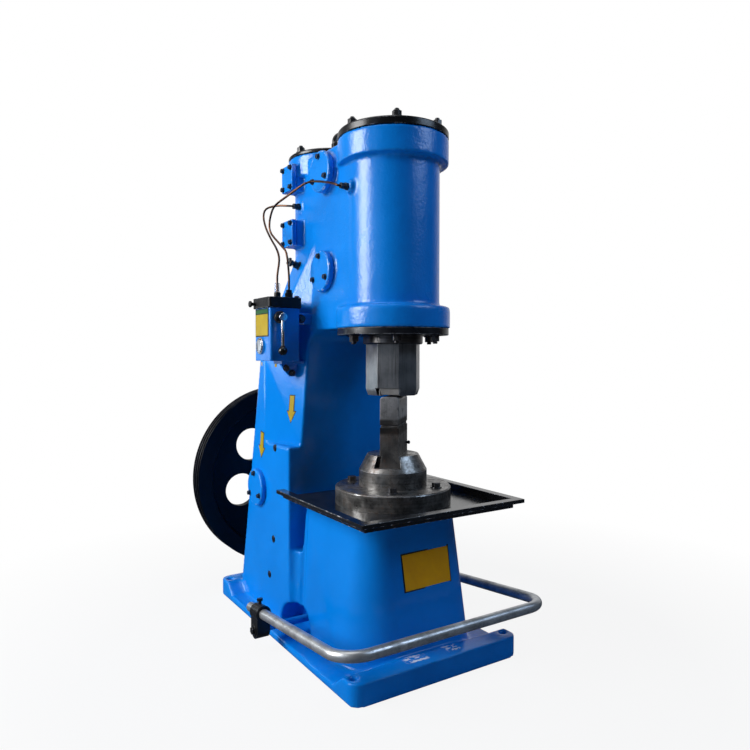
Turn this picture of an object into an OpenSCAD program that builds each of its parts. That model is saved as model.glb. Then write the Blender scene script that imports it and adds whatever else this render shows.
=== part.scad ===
// Pneumatic forging hammer in millimetres.
// Floor at z = 0, ram axis on x = y = 0, operator stands in front at -Y.

/* [Output] */
// piece to build, or all of them

/* [Base] */
// width of the base plate
base_w = 453; // [400:1:520]
// front edge of the base ahead of the ram axis
base_front = 195; // [180:1:230]
// rear edge of the base behind the ram axis
base_back = 580; // [560:1:640]
// thickness of the plate
plate_t = 18; // [12:1:30]
// height of the raised end bars
bar_h = 48; // [40:1:60]
// depth of the front bar
front_bar_d = 88; // [80:1:100]
// depth of the rear bar
rear_bar_d = 100; // [90:1:116]
// run of the slope from each bar down to the plate
bar_ramp = 40; // [20:1:44]
// rounding of the base's corners
base_corner_r = 28; // [10:1:34]
// diameter of the anchor holes
anchor_d = 18; // [12:1:24]
// distance of each anchor hole from the side edge
anchor_edge = 20; // [16:1:24]
// distance of the anchor holes from the end edges
anchor_end = 34; // [24:1:38]

/* [Anvil] */
// height of the pedestal's top
pedestal_z = 357; // [330:1:380]
// radius of the pedestal's round front at the top
pedestal_r_top = 61; // [54:1:68]
// radius of the pedestal's round front at the plate
pedestal_r_low = 103; // [96:1:110]
// half the flat between the two round front corners
pedestal_flat = 70; // [50:1:76]
// middle of the round front corners ahead of the ram axis
pedestal_y = 37; // [30:1:44]
// half width of the pedestal's body at its back, at the plate
body_back_low = 160; // [152:1:164]
// half width of the pedestal's body at its back, at the top
body_back_top = 147; // [140:1:152]
// half width of the pedestal's back edge at the top
pedestal_back_top = 167; // [160:1:172]
// radius of the hollow flank where the pedestal widens
cove_r = 60; // [50:1:75]
// length of the hollow flank
cove_d = 48; // [36:1:48]
// how far the hollow flank starts inside the body
cove_sink = 1.5; // [1:0.5:3]
// gap between the pedestal's back and the column above the web
web_gap = 24; // [16:1:30]
// height of the web between pedestal and column
web_z = 214; // [150:1:230]
// radius of the spigot that centres the tray plate under the anvil
spigot_r = 86; // [70:1:90]
// radius of the anvil block's disc
anvil_disc_r = 138; // [125:1:150]
// thickness of the disc
anvil_disc_t = 40; // [30:1:50]
// radius of the boss on the disc
anvil_boss_r = 81; // [74:1:90]
// radius of the boss at its top
anvil_nose_r = 61; // [56:1:70]
// height of the boss's straight part
anvil_boss_h = 38; // [28:1:46]
// height of the boss's cone
anvil_cone_h = 37; // [31:1:44]

/* [Dies] */
// length of a die's face
die_l = 120; // [100:1:121]
// width of a die's face
die_w = 44; // [40:1:50]
// height of the lower die above its boss
lower_die_h = 66; // [50:1:75]
// height of the upper die below the ram
upper_die_h = 68; // [50:1:75]
// gap between the dies at rest
die_gap = 6; // [5.5:0.5:12]
// width of the dovetail slot at its mouth
dovetail_w = 52; // [44:1:58]
// depth of the dovetail slot in the anvil block
dovetail_d = 27; // [20:1:29]
// depth of the dovetail slot in the ram
ram_slot_d = 18; // [14:1:24]
// how far the lower key's ends lie inside the die's
key_in = 7; // [3:1:12]
// how far the upper key's ends lie inside the ram's flats
key_inset = 8; // [4:1:12]
// lean of the dovetail's sides over its depth
dovetail_lean = 5; // [3:1:8]
// thickness of a die key
key_t = 11; // [8:1:14]
// turn of the dies and slots about the ram axis
die_turn = 45; // [45:45:90]

/* [Ram] */
// ram across its flats
ram_af = 121; // [110:1:124]
// height of the ram's lower bevel
ram_bevel_h = 15; // [10:1:20]
// inset of the ram's lower bevel
ram_bevel = 5; // [3:1:10]
// length of the ram
ram_l = 416; // [380:1:430]
// stroke of the ram
stroke = 112; // [80:1:114]

/* [Column] */
// width of the lower column block
column_w = 365; // [340:1:380]
// front face of the column behind the ram axis
throat = 196; // [185:1:215]
// height of the ledge on the lower block
ledge_z = 475; // [450:1:500]
// width of the upper column's front face at the ledge
neck_w = 294; // [280:1:300]
// width of the upper column's front face under the head
neck_top_w = 257; // [246:1:270]
// where the upper column reaches the block's full width
neck_back = 343; // [330:1:360]
// back of the column at the plate
column_back = 526; // [500:1:540]
// back of the column at its top
column_back_top = 373; // [362:1:390]
// height of the column under the head
shoulder_z = 700; // [690:1:715]

/* [Head] */
// underside of the head
head_z = 769; // [765:1:780]
// radius of the front cylinder
barrel_r = 110; // [105:1:116]
// radius of the front cylinder's lower flange
low_flange_r = 135; // [133:1:142]
// height of the lower flange
low_flange_h = 51; // [40:1:60]
// fillet on top of the lower flange
low_flange_fillet = 8; // [4:1:14]
// radius of the front cylinder's top flange
top_flange_r = 131; // [126:1:138]
// height of the top flange
top_flange_h = 58; // [45:1:70]
// top of the front cylinder
front_top_z = 1209; // [1195:1:1225]
// thickness of the front cap
front_cap_t = 18; // [14:1:26]
// rear cylinder's axis behind the ram axis
rear_y = 300; // [290:1:310]
// radius of the rear cylinder
rear_r = 100; // [94:1:106]
// radius of the rear cylinder's top flange
rear_flange_r = 117; // [112:1:124]
// height of the rear flange
rear_flange_h = 56; // [45:1:66]
// top of the rear cylinder
rear_top_z = 1230; // [1220:1:1240]
// thickness of the rear cap
rear_cap_t = 10; // [8:1:16]
// height where the flared lower walls end
flare_z = 1010; // [990:1:1040]
// fillet under the head at the column
head_fillet = 40; // [20:1:48]
// radius of the ram's bore
ram_bore_r = 74; // [72:1:80]
// air cushion over the ram at the top of its stroke
bore_cushion = 45; // [20:1:55]
// edge chamfer of the caps
cap_chamfer = 3; // [1:0.5:5]

/* [Gland] */
// radius of the gland plate
gland_plate_r = 132; // [124:1:138]
// thickness of the gland plate
gland_plate_t = 16; // [12:1:20]
// radius of the gland ring
gland_ring_r = 71; // [69:1:84]
// height of the gland ring
gland_ring_h = 21; // [12:1:22]
// running gap round the ram
ram_gap = 0.3; // [0.2:0.1:1]

/* [Covers] */
// radius of the round valve covers
valve_cover_r = 50; // [40:1:54]
// thickness of the round covers
valve_cover_t = 14; // [10:1:20]
// valve covers' axis behind the ram axis
valve_y = 128; // [115:1:135]
// height of the upper valve cover
valve_up_z = 1151; // [1130:1:1155]
// height of the lower valve cover
valve_low_z = 911; // [890:1:930]
// seat of the valve covers from the middle
valve_seat = 117; // [115:1:122]
// width of the square port covers
port_w = 63; // [54:1:70]
// height of the square port covers
port_h = 68; // [58:1:74]
// thickness of the square port covers
port_t = 12; // [8:1:16]
// seat of the port covers from the middle
port_seat = 123; // [121:1:130]
// height of the upper port cover
port_up_z = 1171; // [1160:1:1180]
// height of the lower port cover
port_low_z = 1027; // [1015:1:1040]
// radius of the crank covers
crank_cover_r = 50; // [40:1:60]
// thickness of the crank covers
crank_cover_t = 14; // [8:1:20]
// crank covers' place behind the ram axis
crank_cover_y = 385; // [370:1:395]
// height of the crank covers
crank_cover_z = 345; // [330:1:360]

/* [Lifting eye] */
// middle radius of the eye's ring
eye_ring_r = 22; // [18:1:28]
// radius of the eye's bar
eye_bar_r = 7; // [5:0.5:9]
// how deep the ring sits in its collar
eye_sink = 3; // [2:0.5:5]
// radius of the eye's collar
eye_collar_r = 21; // [18:1:26]
// height of the eye's collar
eye_collar_h = 5; // [4:1:9]
// eye ahead of the pump cylinder's axis
eye_in = 57; // [0:1:70]

/* [Tray] */
// width of the tray
tray_w = 440; // [410:1:460]
// front edge of the tray ahead of the ram axis
tray_front = 217; // [205:1:225]
// gap between the tray and the column
tray_gap = 9; // [5:1:14]
// thickness of the tray's plate
tray_t = 4; // [3:0.5:6]
// height of the rim from the plate's underside
tray_rim_h = 22; // [16:1:30]
// width of the rim's outward flange
tray_flange = 22; // [14:1:30]
// depth of the flange's turned down edge
tray_edge = 9; // [6:1:14]
// sheet thickness of the rim
tray_wall = 4; // [3:0.5:5]
// clearance of the plate's hole round the spigot
tray_clear = 0.5; // [0.2:0.1:1]

/* [Flywheel] */
// radius of the flywheel
wheel_r = 278; // [250:1:285]
// width of the flywheel's rim
rim_w = 54; // [50:1:64]
// depth of the flywheel's rim
rim_d = 50; // [40:1:56]
// draft of the rim's inner face
rim_draft = 6; // [2:1:10]
// front of the rim behind the ram axis
wheel_y = 618; // [612:1:640]
// height of the crank axis
crank_z = 328; // [320:1:340]
// thickness of the flywheel's web
web_t = 24; // [18:1:32]
// radius of the flywheel's hub
hub_r = 60; // [52:1:66]
// how far the hub stands out of the rim at each side
hub_out = 16; // [8:1:20]
// radius of the lightening holes
light_r = 50; // [40:1:54]
// circle of the lightening holes
light_pcd_r = 143; // [138:1:150]
// number of lightening holes
light_n = 6; // [5:1:6]
// turn of the lightening holes at rest
light_turn = 44; // [0:1:60]
// number of belt grooves
groove_n = 3; // [2:1:3]
// width of a belt groove at the rim
groove_w = 13; // [10:1:14]
// depth of a belt groove
groove_d = 11; // [8:1:13]
// radius of the crankshaft
shaft_r = 30; // [24:1:36]
// gap from the column's back to the front end of the crankshaft
crank_clear = 8; // [5:1:14]
// radius of the shaft's end washer
washer_r = 44; // [40:1:50]
// thickness of the shaft's end washer
washer_t = 12; // [8:1:16]
// radius of the bearing housing
housing_r = 88; // [78:1:96]
// radius of the housing's end cover
housing_cover_r = 74; // [64:1:77]
// length of the housing's end cover
housing_cover_t = 14; // [10:1:18]
// end of the housing behind the ram axis
housing_end = 575; // [555:1:585]
// running gap of shafts in their bores
shaft_gap = 0.05; // [0.02:0.01:0.08]

/* [Treadle] */
// outer radius of the treadle pipe
pipe_r = 12; // [10:0.5:14]
// bore of the treadle pipe
pipe_bore_r = 9; // [7:0.5:9.5]
// gap from the base's side to the middle of the treadle's arms
arm_gap = 47; // [40:0.5:60]
// front bar ahead of the ram axis
treadle_front = 240; // [230:1:260]
// height of the front bar
treadle_front_z = 130; // [115:1:136]
// height of the pipe at its clamps
treadle_back_z = 90; // [86:1:94]
// bend radius of the pipe
treadle_bend = 60; // [40:1:80]
// length of pipe behind the clamps
pipe_tail = 60; // [30:1:90]
// depth of the open bore in the pipe's back ends
pipe_hollow = 40; // [20:1:80]
// treadle shaft behind the ram axis
treadle_y = 162; // [150:1:170]
// height of the treadle shaft
treadle_z = 50; // [46:1:56]
// radius of the arched pockets round the treadle shaft
pocket_r = 66; // [40:1:72]
// pockets' middle behind the treadle shaft
pocket_back = 20; // [0:1:30]
// depth of the pockets from the column's sides
pocket_d = 60; // [30:1:90]
// radius of the treadle shaft
treadle_shaft_r = 9; // [8:0.5:10]
// length of a clamp's sleeve along the pipe
clamp_l = 42; // [30:1:60]
// wall of the sleeve round the pipe
clamp_wall = 7; // [5:0.5:10]
// thickness of the clamp's lug across the machine
lug_t = 32; // [24:1:38]
// width of the lug
lug_w = 40; // [32:1:50]
// radius of the clamp's set screw
clamp_screw_r = 4; // [3:0.5:6]
// height of the set screw over the sleeve
clamp_screw_h = 9; // [6:1:20]
// radius of the set screw's head
screw_head_r = 7; // [5:0.5:10]
// height of the set screw's head
screw_head_h = 5; // [3:0.5:8]

/* [Oil pump] */
// outer side of the oil box from the middle
oil_x = 239; // [232:1:250]
// width of the oil box
oil_w = 80; // [70:1:82]
// front of the oil box behind the ram axis
oil_y = 175; // [172:1:185]
// depth of the oil box
oil_d = 95; // [80:1:100]
// underside of the oil box
oil_z = 692; // [684:1:696]
// height of the oil box
oil_h = 130; // [115:1:140]
// thickness of the oil box's lid
oil_lid_t = 26; // [18:1:30]
// overhang of the lid
oil_lid_out = 4; // [2:0.5:6]
// corner radius of the oil box
oil_corner_r = 6; // [3:0.5:10]
// thickness of the bracket's shelf
bracket_t = 8; // [6:1:14]
// height of the bracket's rib
bracket_h = 32; // [24:1:60]
// width of the bracket along the column
bracket_w = 50; // [40:1:70]
// bracket behind the middle of the oil box
bracket_back = 8; // [0:1:12]
// outer end of the shelf from the box's outer side
shelf_in = 44; // [20:1:48]
// outer end of the rib from the box's outer side
rib_in = 50; // [30:1:56]
// length of the rib's foot along the column
rib_foot = 36; // [28:1:44]
// radius of the sight glass
glass_r = 18; // [14:1:22]
// how far the sight glass stands out
glass_t = 8; // [5:0.5:12]
// sight glass ahead of the box's back
glass_in = 40; // [24:1:60]
// sight glass over the box's underside
glass_up = 37; // [26:1:60]
// chamfer of the sight glass
glass_chamfer = 2; // [1:0.5:4]
// lever shaft from the box's outer side
lever_in = 24; // [16:1:30]
// lever shaft below the lid
lever_down = 24; // [18:1:32]
// radius of the lever's shaft
lever_shaft_r = 6; // [5:0.5:7]
// radius of the lever's boss on the box
lever_boss_r = 12; // [10:0.5:14]
// length of the lever's boss
lever_boss_t = 10; // [6:1:11]
// how far the lever's shaft stands out of its boss
lever_out = 14; // [12:1:18]
// how deep the lever's shaft runs into the box
lever_sink = 10; // [6:1:20]
// wall of the lever's hub round its shaft
lever_hub_wall = 4; // [2:0.5:6]
// length of the lever's hub
lever_hub_l = 12; // [8:1:14]
// length of the lever from shaft to ball
lever_l = 82; // [60:1:90]
// radius of the lever's rod
lever_rod_r = 4; // [3:0.5:5]
// radius of the lever's ball
lever_ball_r = 11; // [8:0.5:12]
// height of the two line nuts on the lid
nut_h = 12; // [8:1:16]
// radius of the line nuts
nut_r = 8; // [6:0.5:9]
// foot of the front line from the box's outer front corner: across, back
front_foot = [57, 15]; // [10:1:60]
// foot of the rear line from the box's outer front corner: across, back
rear_foot = [27, 17]; // [10:1:60]
// outer radius of the oil lines
line_r = 3.5; // [2.5:0.25:5]
// radius of the oil fittings
fitting_r = 9; // [7:0.5:11]
// length of the oil fittings
fitting_l = 16; // [12:1:20]
// radius of the bosses under the fittings
fitting_boss_r = 16; // [12:1:20]
// how far the front fitting's boss stands out of the ram cylinder
front_boss_out = 12; // [6:0.5:16]
// how far the rear fitting's boss stands out of the pump cylinder
rear_boss_out = 4; // [2:0.5:8]
// front fitting behind the ram axis
front_fitting_y = 6; // [0:1:20]
// rear fitting ahead of the pump cylinder's axis
rear_fitting_in = 11; // [0:1:20]
// height of the front fitting
front_fitting_z = 1090; // [1070:1:1096]
// height of the rear fitting
rear_fitting_z = 1099; // [1085:1:1115]

/* [Hidden] */
$fn = 72;
// thickness of the end sections that the flared walls are drawn between
lip = 2;
// how far walls and flares start inside the rounds that they run out of
wall_sink = 1;
flare_sink = 4;

base_l = base_front + base_back;
anchor_x = base_w / 2 - anchor_edge;
anchor_y = [-base_front + anchor_end, base_back - anchor_end];
disc_top_z = pedestal_z + anvil_disc_t;
nose_z = disc_top_z + anvil_boss_h + anvil_cone_h;
lower_die_top = nose_z + lower_die_h;
ram_z = lower_die_top + die_gap + upper_die_h;
ram_top_z = ram_z + ram_l;
gland_z = head_z - gland_plate_t;
gland_low_z = gland_z - gland_ring_h;
back_lean = (column_back - column_back_top) / (shoulder_z - plate_t);
// half width of the head's straight side walls at a place y behind the ram axis
wall_lean = asin((barrel_r - rear_r) / rear_y);
function wall_x(y) = (barrel_r - wall_sink - y * sin(wall_lean)) / cos(wall_lean);
// half width of the flared wall at the throat's plane, at a height z
function flare_x(z) = neck_top_w / 2
    + (wall_x(throat) - flare_sink - neck_top_w / 2) * (z - shoulder_z) / (flare_z - shoulder_z);
// where a line from a point touches the front of a circle about the ram axis
function touch_point(p, r) = let (a = atan2(p[1], p[0]) - acos(r / norm(p))) r * [cos(a), sin(a)];
// how far each die stands from the slot's middle, away from its key
die_shift = key_t / 4;
wheel_mid = wheel_y + rim_w / 2;
hub_y = wheel_y - hub_out;
hub_l = rim_w + 2 * hub_out;
crank_front = column_back - back_lean * (crank_z - shaft_r - plate_t) + crank_clear;
tray_l = tray_front + throat - tray_gap;
seat_z = pedestal_z - tray_t;
arm_x = base_w / 2 + arm_gap;
clamp_out = arm_x + lug_t / 2;
sleeve_r = pipe_r + clamp_wall;
treadle_reach = treadle_front + treadle_y;
treadle_tilt = atan((treadle_front_z - treadle_back_z) / treadle_reach);
oil_top_z = oil_z + oil_h;
lid_top_z = oil_top_z + oil_lid_t;
lever_x = -(oil_x - lever_in);
lever_z = oil_top_z - lever_down;
// bosses for the fittings: outer face from the middle, place behind the ram axis
front_boss = [barrel_r + front_boss_out, front_fitting_y];
rear_boss = [rear_r + rear_boss_out, rear_y - rear_fitting_in];
line_start = lid_top_z + nut_h;
front_line_foot = [front_foot[0] - oil_x, oil_y + front_foot[1]];
rear_line_foot = [rear_foot[0] - oil_x, oil_y + rear_foot[1]];
front_line_end = -(front_boss[0] + fitting_l);
rear_line_end = -(rear_boss[0] + fitting_l);
// bends of the two oil lines between their ends, as shares of the way across, back and up
front_bends = [
    [0, 0, 0.2], [-0.14, 0, 0.42], [-0.2, -0.12, 0.51], [-0.32, -0.39, 0.67],
    [-0.34, -0.45, 0.78], [-0.34, -0.38, 0.9], [-0.3, -0.26, 0.97], [-0.07, -0.03, 1.03],
    [0.36, 0.3, 1.12], [0.59, 0.54, 1.11], [0.73, 0.87, 1.04], [0.82, 0.99, 1]];
rear_bends = [
    [0, 0, 0.17], [0.08, 0.05, 0.33], [0.12, 0.26, 0.45], [0.23, 0.89, 0.61], [0.29, 1.35, 0.76],
    [0.34, 1.61, 0.9], [0.43, 1.63, 0.99], [0.65, 1.42, 1.02], [0.85, 1.04, 1]];
front_line_start = [front_line_foot[0], front_line_foot[1], line_start];
front_line_stop = [front_line_end, front_boss[1], front_fitting_z];
rear_line_start = [rear_line_foot[0], rear_line_foot[1], line_start];
rear_line_stop = [rear_line_end, rear_boss[1], rear_fitting_z];

// rectangle from a corner with four equal round corners
module round_rect(size, r) {
    translate([r, 0]) square([size[0] - 2 * r, size[1]]);
    translate([0, r]) square([size[0], size[1] - 2 * r]);
    for (x = [r, size[0] - r], y = [r, size[1] - r]) translate([x, y]) circle(r);
}

// cylinder along +X, from x = 0
module rod_x(r, l) { rotate([0, 90, 0]) cylinder(r = r, h = l); }

// cylinder along +Y, from y = 0
module rod_y(r, l) { rotate([-90, 0, 0]) cylinder(r = r, h = l); }

// disc with a chamfered outer top edge
module cap_disc(r, t, c) {
    rotate_extrude() polygon([[0, 0], [r, 0], [r, t - c], [r - c, t], [0, t]]);
}

// octagon with flats on the axes and diagonals
module octagon(af) {
    polygon([for (i = [0:7]) af / 2 / cos(22.5) * [cos(22.5 + 45 * i), sin(22.5 + 45 * i)]]);
}

// side view of the column from the plate to a height, extruded across a width
module column_side(w, low, high) {
    back = function (z) column_back - back_lean * (z - plate_t);
    translate([-w / 2, 0, 0]) rotate([90, 0, 90]) linear_extrude(w)
        polygon([[throat, low], [back(low), low], [back(high), high], [throat, high]]);
}

// plan of the upper column with its front face of a width w
module neck_plan(w, back) {
    polygon([[-w / 2, throat], [w / 2, throat], [column_w / 2, neck_back],
        [column_w / 2, back], [-column_w / 2, back], [-column_w / 2, neck_back]]);
}

// column above its ledge, its front face narrowing towards the head
module upper_column() {
    intersection() {
        column_side(column_w, ledge_z, shoulder_z);
        hull() {
            translate([0, 0, ledge_z]) linear_extrude(lip) neck_plan(neck_w, column_back);
            translate([0, 0, shoulder_z - lip]) linear_extrude(lip) neck_plan(neck_top_w, column_back);
        }
    }
}

// plan of the straight walls between the head's two cylinders
module wall_plan() {
    polygon([[wall_x(0), 0], [wall_x(rear_y), rear_y], [-wall_x(rear_y), rear_y], [-wall_x(0), 0]]);
}

// dovetail slot section, mouth at z = 0 and bottom at z = -depth
module dovetail(d) {
    w = dovetail_w / 2;
    polygon([[-w, 0], [w, 0], [w + dovetail_lean, -d], [-w - dovetail_lean, -d]]);
}

// the die's own share of the slot, beside its key
module die_tail(d) {
    w = dovetail_w / 2;
    polygon([[-w, 0], [w - key_t, 0], [w - key_t + dovetail_lean, -d], [-w - dovetail_lean, -d]]);
}

module key_section(d) {
    w = dovetail_w / 2;
    polygon([[w - key_t, 0], [w, 0], [w + dovetail_lean, -d], [w - key_t + dovetail_lean, -d]]);
}

// section in the slot's own YZ plane, run along the slot by a length
module along_slot(l) { translate([-l / 2, 0, 0]) rotate([90, 0, 90]) linear_extrude(l) children(); }

// treadle frame: the pipe's own plane, hinged line at y = treadle_y
module on_treadle_plane() {
    translate([0, treadle_y, treadle_back_z]) rotate([-treadle_tilt, 0, 0]) children();
}

// points of a smooth curve through a route, a few between each two
function curve_point(a, b, c, d, t) = 0.5 * (2 * b + (c - a) * t
    + (2 * a - 5 * b + 4 * c - d) * t * t + (3 * b - a - 3 * c + d) * t * t * t);
function smooth_route(p, n) = concat([for (i = [0:len(p) - 2], k = [0:n - 1])
    curve_point(p[max(i - 1, 0)], p[i], p[i + 1], p[min(i + 2, len(p) - 1)], k / n)],
    [p[len(p) - 1]]);
function bent_route(a, b, bends) = concat([a],
    [for (f = bends) [for (i = [0:2]) a[i] + f[i] * (b[i] - a[i])]], [b]);
function unit(v) = v / norm(v);
function level(t, up) = unit(up - t * (up * t));
function carry(ts, i, up) = let (v = level(ts[i], up))
    i == len(ts) - 1 ? [v] : concat([v], carry(ts, i + 1, v));

// round tube along a route, with its two end faces square to the given directions
module tube(route, r, first, last, sides = 10) {
    p = smooth_route(route, 3);
    m = len(p);
    t = [for (i = [0:m - 1]) i == 0 ? first : i == m - 1 ? last : unit(p[i + 1] - p[i - 1])];
    n = carry(t, 0, [0.31, 0.95, 0.05]);
    pts = [for (i = [0:m - 1], k = [0:sides - 1]) let (a = 360 * k / sides)
        p[i] + r * (cos(a) * n[i] + sin(a) * cross(t[i], n[i]))];
    walls = [for (i = [0:m - 2], k = [0:sides - 1]) let (j = (k + 1) % sides)
        [i * sides + k, (i + 1) * sides + k, (i + 1) * sides + j, i * sides + j]];
    polyhedron(pts, concat(walls, [[for (k = [0:sides - 1]) k],
        [for (k = [0:sides - 1]) m * sides - 1 - k]]));
}

// raised bar at one end of the plate, sloping down on its inner side
module end_bar(end, inward, d) {
    translate([-base_w / 2, end, 0]) rotate([90, 0, 90]) linear_extrude(base_w)
        polygon([[0, 0], [inward * d, 0], [inward * d, plate_t],
            [inward * (d - bar_ramp), bar_h], [0, bar_h]]);
}

// plate with two raised end bars, cut out round the column's foot
module base_plate() {
    difference() {
        union() {
            translate([-base_w / 2, -base_front, 0]) linear_extrude(plate_t)
                round_rect([base_w, base_l], base_corner_r);
            intersection() {
                translate([-base_w / 2, -base_front, 0]) linear_extrude(bar_h)
                    round_rect([base_w, base_l], base_corner_r);
                union() {
                    end_bar(-base_front, 1, front_bar_d);
                    end_bar(base_back, -1, rear_bar_d);
                }
            }
        }
        column_side(column_w, plate_t, bar_h + 1);
        for (x = [-anchor_x, anchor_x], y = anchor_y)
            translate([x, y, -1]) cylinder(d = anchor_d, h = bar_h + 2);
    }
}

// upright trapezoid across the machine, from the plate to the tray's seat
module pedestal_wedge(low, top, y0, y1) {
    translate([0, y1, 0]) rotate([90, 0, 0]) linear_extrude(y1 - y0)
        polygon([[-low, plate_t], [low, plate_t], [top, seat_z], [-top, seat_z]]);
}

// hollow flank where the pedestal widens to the column's foot
module pedestal_cove(side) {
    lean = atan((column_w / 2 - pedestal_back_top) / (seat_z - plate_t));
    translate([side * (body_back_low - cove_sink + cove_r), throat - web_gap - cove_d, plate_t])
        rotate([0, -side * lean, 0]) translate([0, 0, -plate_t]) cylinder(r = cove_r, h = pedestal_z);
}

// tapered block with a round front, widening to a web that joins the column,
// with a pocket on each side where the treadle's shaft comes out
module anvil_pedestal() {
    difference() {
        union() {
            hull() {
                for (x = [-pedestal_flat, pedestal_flat]) translate([x, -pedestal_y, plate_t])
                    cylinder(r1 = pedestal_r_low, r2 = pedestal_r_top, h = seat_z - plate_t);
                pedestal_wedge(body_back_low, body_back_top, throat - web_gap, throat);
            }
            difference() {
                pedestal_wedge(column_w / 2, pedestal_back_top, throat - web_gap - cove_d, throat);
                for (side = [-1, 1]) pedestal_cove(side);
            }
            translate([0, 0, seat_z - tray_t]) cylinder(r = spigot_r, h = 2 * tray_t);
        }
        translate([-base_w / 2, throat - web_gap, web_z]) cube([base_w, base_w, pedestal_z]);
        end_bar(-base_front, 1, front_bar_d);
        treadle_pockets();
        translate([-base_w / 2, treadle_y, treadle_z])
            rod_x(treadle_shaft_r + shaft_gap, base_w);
    }
}

// arched pockets in both sides of the web and the column's foot
module treadle_pockets() {
    for (side = [-1, 1])
        translate([side < 0 ? -base_w / 2 : column_w / 2 - pocket_d, treadle_y + pocket_back, plate_t])
        intersection() {
            rod_x(pocket_r, pocket_d + (base_w - column_w) / 2);
            translate([-base_w, -base_w, 0]) cube(2 * base_w);
        }
}

// leaning rear column: wide lower block, narrower neck above its ledge,
// and the pump cylinder's round back running out in the slope
module column() {
    difference() {
        column_side(column_w, plate_t, ledge_z);
        treadle_pockets();
    }
    upper_column();
    translate([0, rear_y, ledge_z]) cylinder(r = rear_r, h = shoulder_z - ledge_z);
}

// flared lower walls of the head, from the neck's plan to the pump cylinder
module flared_rear() {
    top_x = wall_x(throat) - flare_sink;
    hull() {
        translate([0, 0, shoulder_z]) linear_extrude(lip) neck_plan(neck_top_w, column_back_top);
        translate([0, 0, flare_z - lip]) linear_extrude(lip)
            polygon([[-top_x, throat], [top_x, throat], [rear_r - 2 * flare_sink, rear_y],
                [rear_r / 2, column_back_top], [-rear_r / 2, column_back_top],
                [2 * flare_sink - rear_r, rear_y]]);
    }
}

// plan of the walls that run from the ram cylinder back to a half width x at the throat's plane
module cheek_plan(x, r) {
    t = touch_point([x, throat], r);
    back = throat + head_fillet / 2;
    polygon([t, [x, throat], [x, back], [-x, back], [-x, throat], [-t[0], t[1]]]);
}

// flared walls beside the ram cylinder, from its lower flange
module flared_front() {
    r = barrel_r - wall_sink;
    hull() {
        translate([0, 0, head_z]) linear_extrude(lip) cheek_plan(flare_x(head_z) - wall_sink, r);
        translate([0, 0, flare_z - lip]) linear_extrude(lip)
            cheek_plan(wall_x(throat) - flare_sink - wall_sink, r - flare_sink);
    }
}

// fillet between the column's front and the underside of the head
module throat_fillet() {
    w = flare_x(head_z) - 2 * flare_sink;
    translate([-w, 0, 0]) rotate([90, 0, 90]) linear_extrude(2 * w) difference() {
        translate([throat - head_fillet, head_z - head_fillet]) square(head_fillet + flare_sink);
        translate([throat - head_fillet, head_z - head_fillet]) circle(head_fillet + wall_sink);
    }
}

// head casting: ram cylinder in front, pump cylinder behind, valve walls between
module cylinder_block() {
    fil = low_flange_fillet;
    difference() {
        union() {
            translate([0, 0, head_z]) cylinder(r = barrel_r, h = front_top_z - head_z);
            translate([0, 0, head_z]) linear_extrude(front_top_z - head_z) wall_plan();
            rotate_extrude() polygon([[0, head_z], [low_flange_r, head_z],
                [low_flange_r, head_z + low_flange_h - fil],
                [low_flange_r - fil * 0.3, head_z + low_flange_h - fil * 0.3],
                [low_flange_r - fil, head_z + low_flange_h], [0, head_z + low_flange_h]]);
            translate([0, 0, front_top_z - top_flange_h])
                cylinder(r = top_flange_r, h = top_flange_h);
            translate([0, rear_y, shoulder_z]) cylinder(r = rear_r, h = rear_top_z - shoulder_z);
            translate([0, rear_y, rear_top_z - rear_flange_h])
                cylinder(r = rear_flange_r, h = rear_flange_h);
            flared_rear();
            flared_front();
            throat_fillet();
            for (z = [valve_low_z, valve_up_z]) translate([-valve_seat, valve_y, z])
                rod_x(valve_cover_r, 2 * valve_seat);
            for (z = [port_low_z, port_up_z])
                translate([-port_seat, rear_y - port_w / 2, z - port_h / 2])
                    cube([2 * port_seat, port_w, port_h]);
            translate([-front_boss[0], front_boss[1], front_fitting_z])
                rod_x(fitting_boss_r, barrel_r);
            translate([-rear_boss[0], rear_boss[1], rear_fitting_z]) rod_x(fitting_boss_r, rear_r);
        }
        for (s = [-1, 1], z = [valve_low_z, valve_up_z])
            translate([s * (valve_seat + rear_r / 2), valve_y, z])
                rotate([0, 90, 0]) cylinder(r = valve_cover_r + 2, h = rear_r, center = true);
        translate([0, 0, head_z - 1])
            cylinder(r = ram_bore_r, h = ram_top_z + stroke + bore_cushion - head_z);
    }
}

module front_cylinder_cap() {
    translate([0, 0, front_top_z]) cap_disc(top_flange_r, front_cap_t, cap_chamfer);
}

module rear_cylinder_cap() {
    translate([0, rear_y, rear_top_z]) cap_disc(rear_flange_r, rear_cap_t, cap_chamfer);
}

// forged ring on a collar, screwed into the rear cap
module lifting_eye() {
    translate([0, rear_y - eye_in, rear_top_z + rear_cap_t]) {
        cylinder(r = eye_collar_r, h = eye_collar_h);
        translate([0, 0, eye_collar_h + eye_ring_r + eye_bar_r - eye_sink]) rotate([90, 0, 0])
            rotate_extrude() translate([eye_ring_r, 0]) circle(eye_bar_r, $fn = 24);
    }
}

module gland_plate() {
    translate([0, 0, gland_z]) linear_extrude(gland_plate_t) difference() {
        circle(gland_plate_r);
        octagon(ram_af + 2 * ram_gap);
    }
}

module gland_ring() {
    translate([0, 0, gland_low_z]) difference() {
        rotate_extrude() polygon([[0, 0], [gland_ring_r - cap_chamfer, 0], [gland_ring_r, cap_chamfer],
            [gland_ring_r, gland_ring_h], [0, gland_ring_h]]);
        translate([0, 0, -1]) linear_extrude(gland_ring_h + 2) octagon(ram_af + 2 * ram_gap);
    }
}

// round cover with its seat at x = seat, on the left (-1) or right (1) side
module side_disc(side, seat, y, z, r, t) {
    translate([side * seat, y, z]) rotate([0, side * 90, 0]) cap_disc(r, t, cap_chamfer);
}

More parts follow.
